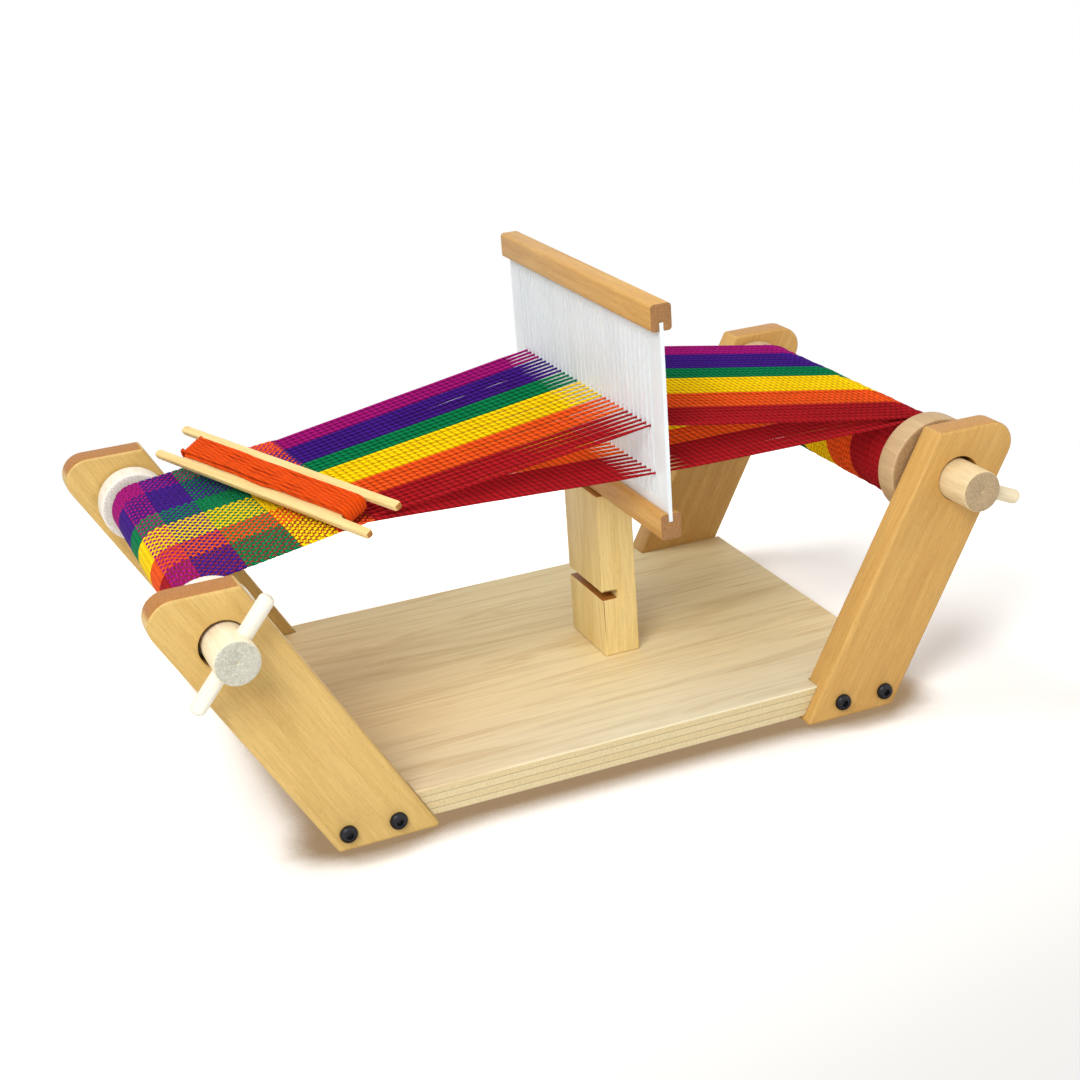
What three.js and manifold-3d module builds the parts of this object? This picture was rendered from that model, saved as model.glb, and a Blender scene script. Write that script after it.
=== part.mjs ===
// A small rigid heddle table loom: a plywood base on four splayed legs, two turning beams,
// a heddle that is raised on a wooden block, a warp in six colours and a wound stick shuttle.
// Millimetres. +X runs from the weaver to the warp beam, -Y is the side with the hand pegs.

import * as THREE from "three";
import { mergeVertices } from "three/addons/utils/BufferGeometryUtils.js";
import Module from "manifold-3d";

const wasm = await Module();
wasm.setup();

// Base board
const boardFrontX = -180;
const boardBackX = 194;
const boardThickness = 18;
const boardClearance = 4;
const boardCorner = 3;
const boardEase = 0.8;

// Legs
const legThickness = 19;
const legGap = 2;
const legWidth = 53.2;
const legHeight = 171;
const legLean = THREE.MathUtils.degToRad(61);
const legInnerToe = 118.9;
const legOuterCorner = 14;
const legInnerCorner = 2.5;
const legFootCorner = 2;
const legEase = 1.5;
const notchDepth = 12.5;
const notchPlay = 0.3;

// Bolts and barrel nuts that hold the legs
const boltDiameter = 6;
const boltHeadDiameter = 10.5;
const boltHeadHeight = 3.3;
const boltSocket = 4;
const boltSocketDepth = 1.9;
const boltHeadSides = [[1, 0], [1, 0.35], [0.86, 0.75], [0.6, 1]];
const boltPoint = 0.8;
const boltLength = 40;
const boltHeight = 11;
const boltInset = 19.1;
const boltSpacing = 29.5;
const boltPlay = 0.3;
const boltHoleDepth = 2;
const nutDiameter = 10;
const nutLength = 13;
const nutSlotWidth = 1.4;
const nutSlotDepth = 1.4;
const nutFromTip = 6;
const nutPlay = 0.2;

// Heddle block
const blockDepth = 24;
const blockWidth = 53;
const blockHeight = 110;
const blockFaceX = 36;
const blockCorner = 1.6;
const blockEase = 0.8;
const blockSlotHeight = 5.5;
const blockSlotDepth = 11;
const blockSlotFromTop = 68;
const screwDiameter = 4;
const screwHeadDiameter = 8.4;
const screwHeadRim = 0.4;
const screwSink = 0.6;
const screwLength = 40;
const screwSpacing = 28;
const screwPlay = 0.3;
const screwHoleBelow = 1.2;
const screwCrossLength = 5;
const screwCrossWidth = 1;
const screwCrossDepth = 0.8;

// Beams, their flanges and hand pegs
const beamDiameter = 25.4;
const beamX = 225.8;
const beamHeight = 139.7;
const beamHolePlay = 0.8;
const beamNearReach = 25.6;
const beamFarReach = 1;
const beamEase = 1;
const centreMark = 1.6;
const clothFlangeRadius = 26;
const warpFlangeRadius = 32.5;
const flangeThickness = 17.5;
const flangeEase = 1.8;
const flangePlay = 0.2;
const pegDiameter = 9;
const pegLength = 74;
const pegDome = 3.2;
const pegPlay = 0.2;
const clothPegAngle = THREE.MathUtils.degToRad(50);
const warpPegAngle = THREE.MathUtils.degToRad(-23);

// Warp: ends of yarn from the far side to the near side
const warpPitch = 3.175;
const threadThickness = 1.4;
const slotSag = 0.5;
const threadSides = 4;
const bands = [
  { name: "magenta", ends: 8, colour: 0xa0147a },
  { name: "violet", ends: 13, colour: 0x4b1982 },
  { name: "green", ends: 8, colour: 0x008c5a },
  { name: "yellow", ends: 12, colour: 0xf5d214 },
  { name: "orange", ends: 9, colour: 0xe15a1e },
  { name: "red", ends: 13, colour: 0x961423 },
];
const warpRollRadius = 26.5;
const rollCoreGap = 0.3;
const bandGap = 0.3;

// Cloth
const clothThickness = 1.6;
const clothRollRadius = 15.8;
const clothNear = -89;
const clothFar = 97;
const fellX = -129.5;
const fellAboveBeam = 31.2;
const fellNear = -84;
const fellFar = 86;
const fellSlant = 0.08;
const fellStrip = 3;

// Heddle
const heddleX = 45.5;
const heddleLength = 229;
const barThickness = 13;
const barHeight = 16;
const barEase = 2.2;
const barEndEase = 0.8;
const reedThickness = 2.4;
const reedHeight = 109.5;
const reedTongue = 5;
const reedPlay = 0.2;
const slotWidth = 2;
const slotMargin = 6;
const eyeWidth = 2.2;
const eyeHeight = 5;
const eyeFromReedFoot = 49.5;

// Shuttle
const stickLength = 222;
const stickWidth = 28.5;
const stickThickness = 4;
const forkWidth = 17.6;
const forkDepth = 26;
const forkCorner = 4;
const prongTip = 5.2;
const prongCorner = 2.2;
const stickEase = 0.6;
const shuttleX = -161.6;
const shuttleY = -5;
const shuttleYaw = THREE.MathUtils.degToRad(19.45);
const shuttleTilt = THREE.MathUtils.degToRad(25);
const restStations = 8;
const yarnDiameter = 1.6;
const yarnPitch = 2.3;
const yarnLoopsAcross = 7;

// Clearances, and how far a cutter runs out of what it cuts
const seatGap = 0.05;
const restGap = 0.3;
const cutBeyond = 1;

// Sides of round pieces
const rodSides = 32;
const nutSides = 14;
const boreSides = 10;

const legSlope = 1 / Math.tan(legLean);
const legOuterToe = legInnerToe + legWidth / Math.sin(legLean);
const boardTop = boardClearance + boardThickness;
const beamRadius = beamDiameter / 2;
const beamHoleRadius = beamRadius + beamHolePlay;
const warpEnds = bands.reduce((sum, band) => sum + band.ends, 0);
const warpHalf = ((warpEnds - 1) * warpPitch) / 2;
const clothHalf = warpHalf + warpPitch / 2;
const flangeInner = clothHalf + restGap;
const legInnerFace = flangeInner + flangeThickness + legGap;
const legOuterFace = legInnerFace + legThickness;
const boardWidth = 2 * (legInnerFace + notchDepth - notchPlay);
const nearEnd = legOuterFace + beamNearReach;
const farEnd = legOuterFace + beamFarReach;
const pegOffset = legOuterFace + beamNearReach / 2;
const fellHeight = beamHeight + fellAboveBeam;
const blockCentreX = blockFaceX + blockDepth / 2;
const blockTop = boardTop + seatGap + blockHeight;
const lowerBarFoot = blockTop + seatGap;
const reedFoot = lowerBarFoot + barHeight;
const reedHead = reedFoot + reedHeight;
const eyeCentre = reedFoot + eyeFromReedFoot;

// A closed triangle mesh as a solid that can be cut and joined.
function toSolid(geometry) {
  const plain = geometry.clone();
  plain.deleteAttribute("normal");
  plain.deleteAttribute("uv");
  const merged = mergeVertices(plain, 1e-4);
  return new wasm.Manifold(
    new wasm.Mesh({
      numProp: 3,
      vertProperties: new Float32Array(merged.attributes.position.array),
      triVerts: new Uint32Array(merged.index.array),
    }),
  );
}

// The same solid as a geometry again.
function toGeometry(solid) {
  const mesh = solid.getMesh();
  const geometry = new THREE.BufferGeometry();
  geometry.setAttribute("position", new THREE.BufferAttribute(mesh.vertProperties, 3));
  geometry.setIndex(new THREE.BufferAttribute(mesh.triVerts, 1));
  geometry.computeVertexNormals();
  return geometry;
}

// One geometry with others taken out of it.
function cut(geometry, cutters) {
  let solid = toSolid(geometry);
  for (const cutter of cutters) {
    solid = solid.subtract(toSolid(cutter));
  }
  return toGeometry(solid);
}

// Several overlapping geometries as one body.
function join(geometries) {
  let solid = toSolid(geometries[0]);
  for (const other of geometries.slice(1)) {
    solid = solid.add(toSolid(other));
  }
  return toGeometry(solid);
}

// A closed outline whose corners are rounded by arcs of the radii beside them.
function roundedShape(points, radii) {
  const shape = new THREE.Shape();
  points.forEach((point, i) => {
    const before = points[(i + points.length - 1) % points.length];
    const after = points[(i + 1) % points.length];
    const toBefore = before.clone().sub(point).normalize();
    const toAfter = after.clone().sub(point).normalize();
    const half = Math.acos(toBefore.dot(toAfter)) / 2;
    const start = point.clone().addScaledVector(toBefore, radii[i] / Math.tan(half));
    const inwards = toBefore.clone().add(toAfter).normalize();
    const centre = point.clone().addScaledVector(inwards, radii[i] / Math.sin(half));
    const from = start.clone().sub(centre).angle();
    const clockwise = toBefore.cross(toAfter) > 0;
    const sweep = (clockwise ? -1 : 1) * (Math.PI - 2 * half);
    shape.absarc(centre.x, centre.y, radii[i], from, from + sweep, clockwise);
  });
  shape.closePath();
  return shape;
}

// A rectangle about a centre with one corner radius.
function rectangle(centreX, centreY, width, height, radius) {
  const x = width / 2;
  const y = height / 2;
  const corners = [
    new THREE.Vector2(centreX - x, centreY - y),
    new THREE.Vector2(centreX + x, centreY - y),
    new THREE.Vector2(centreX + x, centreY + y),
    new THREE.Vector2(centreX - x, centreY + y),
  ];
  return roundedShape(corners, [radius, radius, radius, radius]);
}

// An outline extruded between two depths, its edges eased by a small chamfer.
function extrude(shape, from, to, ease, curveSegments) {
  const geometry = new THREE.ExtrudeGeometry(shape, {
    depth: to - from - 2 * ease,
    bevelEnabled: ease > 0,
    bevelThickness: ease,
    bevelSize: ease,
    bevelOffset: -ease,
    bevelSegments: 1,
    curveSegments,
  });
  geometry.translate(0, 0, from + ease);
  return geometry;
}

// An outline drawn in X and Z, extruded along Y.
function extrudeAlongY(shape, from, to, ease, curveSegments = 4) {
  const geometry = extrude(shape, -to, -from, ease, curveSegments);
  geometry.rotateX(Math.PI / 2);
  return geometry;
}

// A profile of radius and height turned round the Y axis.
function turned(points, sides) {
  return new THREE.LatheGeometry(
    points.map(([radius, height]) => new THREE.Vector2(radius, height)),
    sides,
  );
}

// A plain rod along Y.
function rodAlongY(radius, from, to, sides) {
  const geometry = new THREE.CylinderGeometry(radius, radius, to - from, sides);
  geometry.translate(0, (from + to) / 2, 0);
  return geometry;
}

// A plain rod along Z.
function rodAlongZ(radius, from, to, sides) {
  const geometry = rodAlongY(radius, from, to, sides);
  geometry.rotateX(Math.PI / 2);
  return geometry;
}

const model = new THREE.Group();

function addPiece(name, geometry, material) {
  const mesh = new THREE.Mesh(geometry, material);
  mesh.name = name;
  model.add(mesh);
  return mesh;
}

function finish(color, roughness, metalness = 0) {
  return new THREE.MeshStandardMaterial({ color, roughness, metalness });
}

// The side outline of a leg that leans towards +X.
function legOutline() {
  const top = legHeight * legSlope;
  const points = [
    new THREE.Vector2(legInnerToe, 0),
    new THREE.Vector2(legOuterToe, 0),
    new THREE.Vector2(legOuterToe + top, legHeight),
    new THREE.Vector2(legInnerToe + top, legHeight),
  ];
  return roundedShape(points, [legFootCorner, legFootCorner, legOuterCorner, legInnerCorner]);
}

// The side outline of the corner cut away for a leg: its shoulder leans like the leg.
function notchOutline() {
  const top = boardTop + cutBeyond;
  const shape = new THREE.Shape();
  shape.moveTo(legInnerToe - notchPlay, 0);
  shape.lineTo(boardBackX + legThickness, 0);
  shape.lineTo(boardBackX + legThickness, top);
  shape.lineTo(legInnerToe - notchPlay + top * legSlope, top);
  shape.closePath();
  return shape;
}

const bolts = [legInnerToe + boltHeight * legSlope + boltInset];
bolts.push(bolts[0] + boltSpacing);
const boltTip = legOuterFace - boltLength;
const nutY = boltTip + nutFromTip;
const nutFoot = boltHeight - nutLength / 2;
const corners = [
  { name: "front_right", x: -1, y: -1 },
  { name: "back_right", x: 1, y: -1 },
  { name: "front_left", x: -1, y: 1 },
  { name: "back_left", x: 1, y: 1 },
];

// Base board: notches for the legs, bolt and nut bores, and screw holes under the block.
function makeBoard() {
  const boardLength = boardBackX - boardFrontX;
  const plan = rectangle((boardFrontX + boardBackX) / 2, 0, boardLength, boardWidth, boardCorner);
  const plate = extrude(plan, boardClearance, boardTop, boardEase, 4);
  const cutters = [];
  for (const corner of corners) {
    const notch = extrudeAlongY(notchOutline(), boardWidth / 2 - notchDepth, boardWidth, 0);
    const bores = [notch];
    for (const x of bolts) {
      const boreEnd = boltTip - boltHoleDepth;
      const bore = rodAlongY(boltDiameter / 2 + boltPlay, boreEnd, boardWidth / 2, boreSides);
      bore.translate(x, 0, boltHeight);
      bores.push(bore);
      const nutHead = nutFoot + nutLength + nutPlay;
      const nutBore = rodAlongZ(nutDiameter / 2 + nutPlay, 0, nutHead, nutSides);
      nutBore.translate(x, nutY, 0);
      bores.push(nutBore);
    }
    for (const bore of bores) {
      if (corner.x < 0) {
        bore.rotateZ(Math.PI);
      }
      if (corner.x !== corner.y) {
        mirrorY(bore);
      }
      cutters.push(bore);
    }
  }
  for (const y of [-screwSpacing / 2, screwSpacing / 2]) {
    const hole = screwBody(screwPlay, screwHoleBelow, boardThickness + screwDiameter);
    hole.translate(blockCentreX, y, boardClearance + screwSink);
    cutters.push(hole);
  }
  addPiece("base_board", cut(plate, cutters), finish(0xeadcb8, 0.55));
}

// A geometry reflected in the XZ plane, with its faces kept pointing out.
function mirrorY(geometry) {
  geometry.scale(1, -1, 1);
  const index = geometry.index;
  const position = geometry.attributes.position;
  if (index) {
    for (let i = 0; i < index.count; i += 3) {
      const first = index.getX(i);
      index.setX(i, index.getX(i + 1));
      index.setX(i + 1, first);
    }
    return geometry;
  }
  for (let i = 0; i < position.count; i += 3) {
    const point = [position.getX(i), position.getY(i), position.getZ(i)];
    position.setXYZ(i, position.getX(i + 1), position.getY(i + 1), position.getZ(i + 1));
    position.setXYZ(i + 1, ...point);
  }
  return geometry;
}

// A leg with its beam hole and two bolt holes.
function makeLeg(corner) {
  const blank = extrudeAlongY(legOutline(), legInnerFace, legOuterFace, legEase, 4);
  const cutters = [];
  const from = legInnerFace - cutBeyond;
  const to = legOuterFace + cutBeyond;
  const hole = rodAlongY(beamHoleRadius, from, to, rodSides);
  hole.translate(beamX, 0, beamHeight);
  cutters.push(hole);
  for (const x of bolts) {
    const bore = rodAlongY(boltDiameter / 2 + boltPlay, from, to, boreSides);
    bore.translate(x, 0, boltHeight);
    cutters.push(bore);
  }
  const leg = cut(blank, cutters);
  if (corner.x < 0) {
    leg.rotateZ(Math.PI);
  }
  if (corner.x !== corner.y) {
    mirrorY(leg);
  }
  leg.computeVertexNormals();
  addPiece(corner.name + "_leg", leg, finish(0xdcb26a, 0.45));
}

// A button head bolt along Y, its head facing outwards from zero.
function boltBody() {
  const head = boltHeadDiameter / 2;
  const shank = boltDiameter / 2;
  const body = turned(
    [
      [0, -boltLength],
      [shank - boltPoint, -boltLength],
      [shank, -boltLength + boltPoint],
      [shank, 0],
      ...boltHeadSides.map(([out, up]) => [head * out, boltHeadHeight * up]),
      [0, boltHeadHeight],
    ],
    nutSides,
  );
  const across = boltSocket / Math.cos(Math.PI / 6) / 2;
  const socketFloor = boltHeadHeight - boltSocketDepth;
  const socket = rodAlongY(across, socketFloor, boltHeadHeight + cutBeyond, 6);
  return cut(body, [socket]);
}

// A barrel nut that stands upright with a cross bore and a screwdriver slot in its foot.
function nutBody() {
  const barrel = rodAlongZ(nutDiameter / 2, -nutLength / 2, nutLength / 2, nutSides);
  const bore = rodAlongY(boltDiameter / 2 + boltPlay, -nutDiameter, nutDiameter, boreSides);
  const slot = new THREE.BoxGeometry(nutDiameter * 2, nutSlotWidth, nutSlotDepth * 2);
  slot.translate(0, 0, -nutLength / 2);
  return cut(barrel, [bore, slot]);
}

function makeFastenings(corner) {
  bolts.forEach((x, i) => {
    const bolt = addPiece(`${corner.name}_bolt_${i + 1}`, boltBody(), finish(0x17171a, 0.4, 0.6));
    bolt.position.set(corner.x * x, corner.y * (legOuterFace + seatGap), boltHeight);
    bolt.rotation.z = corner.y < 0 ? Math.PI : 0;
    const nut = addPiece(`${corner.name}_nut_${i + 1}`, nutBody(), finish(0xb9bcc2, 0.35, 0.9));
    nut.position.set(corner.x * x, corner.y * nutY, boltHeight);
  });
}

// A countersunk wood screw along Z, or with play the hole for it, which starts below the head.
function screwBody(play, below, length) {
  const shank = screwDiameter / 2 + play;
  const head = screwHeadDiameter / 2 + play;
  const rim = screwHeadRim;
  const body = turned(
    [
      [0, -below],
      [head, -below],
      [head, rim],
      [shank, rim + head - shank],
      [shank, length - shank],
      [0, length],
    ],
    nutSides,
  );
  body.rotateX(Math.PI / 2);
  return body;
}

// Heddle block with the level slot in its front face, and the two screws that hold it.
function makeBlock() {
  const foot = boardTop + seatGap;
  const side = rectangle(blockCentreX, foot + blockHeight / 2, blockDepth, blockHeight, blockCorner);
  const blank = extrudeAlongY(side, -blockWidth / 2, blockWidth / 2, blockEase);
  const slot = new THREE.BoxGeometry(blockSlotDepth * 2, blockWidth * 2, blockSlotHeight);
  slot.translate(blockFaceX, 0, blockTop - blockSlotFromTop);
  const cutters = [slot];
  const screwFoot = boardClearance + screwSink;
  for (const y of [-screwSpacing / 2, screwSpacing / 2]) {
    const head = screwFoot + screwLength + cutBeyond;
    const pilot = rodAlongZ(screwDiameter / 2 + screwPlay, foot - cutBeyond, head, boreSides);
    pilot.translate(blockCentreX, y, 0);
    cutters.push(pilot);
  }
  addPiece("heddle_block", cut(blank, cutters), finish(0xe2c58a, 0.5));
  [-1, 1].forEach((side, i) => {
    const deep = 2 * screwCrossDepth;
    const bars = [
      new THREE.BoxGeometry(screwCrossLength, screwCrossWidth, deep),
      new THREE.BoxGeometry(screwCrossWidth, screwCrossLength, deep),
    ];
    const body = cut(screwBody(0, 0, screwLength), bars);
    const screw = addPiece(`block_screw_${i + 1}`, body, finish(0xc2b280, 0.4, 0.8));
    screw.position.set(blockCentreX, (side * screwSpacing) / 2, screwFoot);
  });
}

// A beam along Y with eased ends, a centre mark and a cross bore for its peg.
function makeBeam(name, x, pegAngle) {
  const ends = [
    [0, -nearEnd],
    [beamRadius - beamEase, -nearEnd],
    [beamRadius, -nearEnd + beamEase],
    [beamRadius, farEnd - beamEase],
    [beamRadius - beamEase, farEnd],
    [0, farEnd],
  ];
  const bore = rodAlongY(pegDiameter / 2 + pegPlay, -beamDiameter, beamDiameter, nutSides);
  bore.rotateZ(-Math.PI / 2);
  bore.rotateY(-pegAngle);
  bore.translate(0, -pegOffset, 0);
  const cone = [
    [0, -nearEnd - cutBeyond],
    [centreMark, -nearEnd - cutBeyond],
    [0, -nearEnd + centreMark],
  ];
  const cutters = [bore, turned(cone, boreSides)];
  const beam = addPiece(name, cut(turned(ends, rodSides), cutters), finish(0xeee3c8, 0.5));
  beam.position.set(x, 0, beamHeight);
}

// A peg through the near end of a beam, with domed ends.
function makePeg(name, x, angle) {
  const radius = pegDiameter / 2;
  const half = pegLength / 2;
  const profile = [[0, -half]];
  for (const step of [1, 2, 3]) {
    const turn = (step * Math.PI) / 6;
    profile.push([radius * Math.sin(turn), -half + pegDome * (1 - Math.cos(turn))]);
  }
  const far = profile.map(([r, y]) => [r, -y]).reverse();
  const peg = addPiece(name, turned([...profile, ...far], nutSides), finish(0xefe6d0, 0.5));
  peg.geometry.rotateZ(-Math.PI / 2);
  peg.geometry.rotateY(-angle);
  peg.position.set(x, -pegOffset, beamHeight);
}

// A flange turned from thick board, fixed on a beam beside the yarn.
function makeFlange(name, x, side, radius) {
  const bore = beamRadius + flangePlay;
  const profile = [
    [bore, 0],
    [radius - flangeEase, 0],
    [radius, flangeEase],
    [radius, flangeThickness - flangeEase],
    [radius - flangeEase, flangeThickness],
    [bore, flangeThickness],
    [bore, 0],
  ];
  const flange = addPiece(name, turned(profile, rodSides), finish(0xd9c3a0, 0.6));
  flange.position.set(x, side > 0 ? flangeInner : -flangeInner - flangeThickness, beamHeight);
}

// The side outline of a wound roll: one turn of a spiral that steps down by a layer at the top.
// The outer layer leaves the step towards the given side, away from its stretch.
function rollOutline(radius, layer, side) {
  const outline = new THREE.Shape();
  for (let i = 0; i <= rodSides; i += 1) {
    const turn = i / rodSides;
    const reach = radius - layer * turn;
    const angle = Math.PI / 2 - turn * 2 * Math.PI;
    const point = [side * reach * Math.cos(angle), reach * Math.sin(angle)];
    if (i === 0) {
      outline.moveTo(...point);
    } else {
      outline.lineTo(...point);
    }
  }
  outline.closePath();
  const bore = new THREE.Path();
  bore.absarc(0, 0, beamRadius + rollCoreGap, 0, Math.PI * 2);
  outline.holes.push(bore);
  return outline;
}

// Where a straight run from a point meets the top of a circle.
function tangentPoint(centreX, centreZ, radius, pointX, pointZ) {
  const dx = pointX - centreX;
  const dz = pointZ - centreZ;
  const distance = Math.hypot(dx, dz);
  const turn = Math.acos(radius / distance) * (dx < 0 ? -1 : 1);
  const angle = Math.atan2(dz, dx) + turn;
  return new THREE.Vector2(centreX + radius * Math.cos(angle), centreZ + radius * Math.sin(angle));
}

// A ribbon of even thickness along a line of points in X and Z.
function ribbonOutline(points, thickness) {
  const shape = new THREE.Shape();
  const half = thickness / 2;
  shape.moveTo(points[0].x, points[0].y - half);
  for (const point of points.slice(1)) {
    shape.lineTo(point.x, point.y - half);
  }
  for (const point of [...points].reverse()) {
    shape.lineTo(point.x, point.y + half);
  }
  shape.closePath();
  return shape;
}

const clothLine = clothRollRadius + restGap + clothThickness / 2;
const clothStart = tangentPoint(-beamX, beamHeight, clothLine, fellX, fellHeight);
const fell = new THREE.Vector2(fellX, fellHeight);
const threadLine = warpRollRadius + restGap + threadThickness / 2;
const eyeFloor = eyeCentre - (eyeHeight - eyeWidth) / 2;
const eyePoint = new THREE.Vector2(heddleX, eyeFloor + restGap + threadThickness / 2);
const raisedEnd = tangentPoint(beamX, beamHeight, threadLine, eyePoint.x, eyePoint.y);
const loweredEnd = tangentPoint(beamX, beamHeight, threadLine, fell.x, fell.y);
const slotShare = (heddleX - fell.x) / (loweredEnd.x - fell.x);
const slotPoint = fell.clone().lerp(loweredEnd, slotShare);
slotPoint.y -= slotSag;

// The weaving draws the warp in: a point at the fell, given by its place in the reed, moves to
// its place in the cloth and follows the fell, which slants a little.
function drawnIn(x, y, z) {
  const share = (fellFar - fellNear) / (2 * clothHalf);
  const inward = (fellFar + fellNear) / 2 + y * share;
  return new THREE.Vector3(x - fellSlant * inward, inward, z);
}

// Cloth: the wound roll and the flat stretch from the roll to the fell.
function makeCloth() {
  const rollShape = rollOutline(clothRollRadius, clothThickness, -1);
  const roll = extrudeAlongY(rollShape, clothNear, clothFar, 0, 10);
  const rollPiece = addPiece("cloth_roll", roll, finish(0x9a2a6a, 0.9));
  rollPiece.position.set(-beamX, 0, beamHeight);
  const outline = ribbonOutline([clothStart, fell], clothThickness);
  const flat = extrudeAlongY(outline, clothNear, clothFar, 0);
  const position = flat.attributes.position;
  for (let i = 0; i < position.count; i += 1) {
    if (position.getX(i) > fell.x - fellStrip) {
      const y = position.getY(i) > 0 ? fellFar : fellNear;
      position.setXYZ(i, position.getX(i) - fellSlant * y, y, position.getZ(i));
    }
  }
  flat.computeVertexNormals();
  addPiece("cloth_span", flat, finish(0x9a2a6a, 0.9));
}

// One colour of the warp: its last woven edge at the fell, then every other end raised.
function makeWarpBand(band, firstEnd) {
  const stripStart = new THREE.Vector2(fell.x + restGap, fell.y);
  const stripEnd = new THREE.Vector2(stripStart.x + fellStrip, fell.y);
  const root = new THREE.Vector2(stripStart.x + fellStrip / 2, fell.y);
  const farY = warpHalf - (firstEnd - 0.5) * warpPitch;
  const nearY = farY - band.ends * warpPitch;
  const edge = ribbonOutline([stripStart, stripEnd], clothThickness);
  const strip = extrudeAlongY(edge, nearY + bandGap / 2, farY - bandGap / 2, 0);
  const position = strip.attributes.position;
  for (let i = 0; i < position.count; i += 1) {
    const moved = drawnIn(position.getX(i), position.getY(i), position.getZ(i));
    position.setXYZ(i, moved.x, moved.y, moved.z);
  }
  const strands = [strip];
  for (let i = 0; i < band.ends; i += 1) {
    const raised = (firstEnd + i) % 2 === 1;
    const y = warpHalf - (firstEnd + i) * warpPitch;
    const route = raised ? [eyePoint, raisedEnd] : [slotPoint, loweredEnd];
    const points = route.map((point) => new THREE.Vector3(point.x, y, point.y));
    points.unshift(drawnIn(root.x, y, root.y));
    strands.push(tubeAlong(points, threadThickness / 2, threadSides));
  }
  addPiece(`warp_${band.name}`, join(strands), finish(band.colour, 0.9));
  const rollShape = rollOutline(warpRollRadius, threadThickness, 1);
  const roll = extrudeAlongY(rollShape, nearY + bandGap / 2, farY - bandGap / 2, 0, 8);
  const rollPiece = addPiece(`warp_roll_${band.name}`, roll, finish(band.colour, 0.9));
  rollPiece.position.set(beamX, 0, beamHeight);
}

// A heddle bar with a groove for the reed in its upper or lower face.
function makeBar(name, foot, grooveAbove) {
  const profile = rectangle(heddleX, foot + barHeight / 2, barThickness, barHeight, barEase);
  const blank = extrudeAlongY(profile, -heddleLength / 2, heddleLength / 2, barEndEase);
  const groove = new THREE.BoxGeometry(
    reedThickness + 2 * reedPlay,
    heddleLength * 2,
    2 * (reedTongue + reedPlay),
  );
  groove.translate(heddleX, 0, grooveAbove ? foot + barHeight : foot);
  addPiece(name, cut(blank, [groove]), finish(0xd9ad5e, 0.45));
}

// A hole with round ends, as an outline for the reed.
function oblong(y, centre, width, height) {
  const radius = width / 2;
  const straight = height / 2 - radius;
  const path = new THREE.Path();
  path.absarc(y, centre + straight, radius, 0, Math.PI);
  path.absarc(y, centre - straight, radius, Math.PI, 2 * Math.PI);
  path.closePath();
  return path;
}

// The reed: a thin plate with a slot for each lowered end and an eye for each raised one.
function makeReed() {
  const low = reedFoot - reedTongue;
  const high = reedHead + reedTongue;
  const plate = new THREE.Shape();
  const half = heddleLength / 2 - seatGap;
  plate.moveTo(-half, low);
  plate.lineTo(half, low);
  plate.lineTo(half, high);
  plate.lineTo(-half, high);
  plate.closePath();
  for (let i = 0; i < warpEnds; i += 1) {
    const y = warpHalf - i * warpPitch;
    if (i % 2 === 1) {
      plate.holes.push(oblong(y, eyeCentre, eyeWidth, eyeHeight));
    } else {
      plate.holes.push(oblong(y, (reedFoot + reedHead) / 2, slotWidth, reedHeight - 2 * slotMargin));
    }
  }
  const reed = extrude(plate, -reedThickness / 2, reedThickness / 2, 0, 2);
  reed.rotateX(Math.PI / 2);
  reed.rotateZ(Math.PI / 2);
  reed.translate(heddleX, 0, 0);
  addPiece("heddle_reed", reed, finish(0xf2f2ee, 0.35));
}

// The stick's outline along X: a flat bar with a fork at each end.
function stickOutline() {
  const half = stickLength / 2;
  const side = stickWidth / 2;
  const fork = forkWidth / 2;
  const throat = half - forkDepth;
  const mouth = side - prongTip;
  const right = [
    [half, -side, prongCorner],
    [half, -mouth, prongCorner],
    [throat, -fork, forkCorner],
    [throat, fork, forkCorner],
    [half, mouth, prongCorner],
    [half, side, prongCorner],
  ];
  const all = [...right, ...right.map(([x, y, radius]) => [-x, -y, radius])];
  const points = all.map(([x, y]) => new THREE.Vector2(x, y));
  return roundedShape(points, all.map(([, , radius]) => radius));
}

// The winding's centre line: long loops round the stick that pass through both forks.
// The first layer moves across by one pitch a loop and stops half a loop short of its last one.
// That half loop climbs to the second layer, which moves back over the first.
function yarnPath() {
  const points = [];
  const inner = stickThickness / 2 + restGap + yarnDiameter / 2;
  const reach = stickLength / 2 - forkDepth;
  const runSteps = 3;
  const bendSteps = 6;
  const loopSteps = 2 * (runSteps + bendSteps);
  const widest = yarnLoopsAcross - 0.5;
  for (let i = 0; i <= (yarnLoopsAcross + widest) * loopSteps; i += 1) {
    const turn = i / loopSteps;
    const climb = THREE.MathUtils.clamp((turn - widest) * 2, 0, 1);
    const across = Math.min(turn, widest) - Math.max(0, turn - yarnLoopsAcross);
    const height = inner + yarnPitch * climb;
    const step = i % loopSteps;
    const back = step >= loopSteps / 2;
    const part = step % (loopSteps / 2);
    const facing = back ? -1 : 1;
    const run = Math.min(part / runSteps, 1);
    const bend = (Math.PI * Math.max(0, part - runSteps)) / bendSteps;
    const x = facing * (reach * (2 * run - 1) + height * Math.sin(bend));
    const z = facing * height * Math.cos(bend);
    points.push(new THREE.Vector3(x, (across - widest / 2) * yarnPitch, z));
  }
  return points;
}

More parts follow.
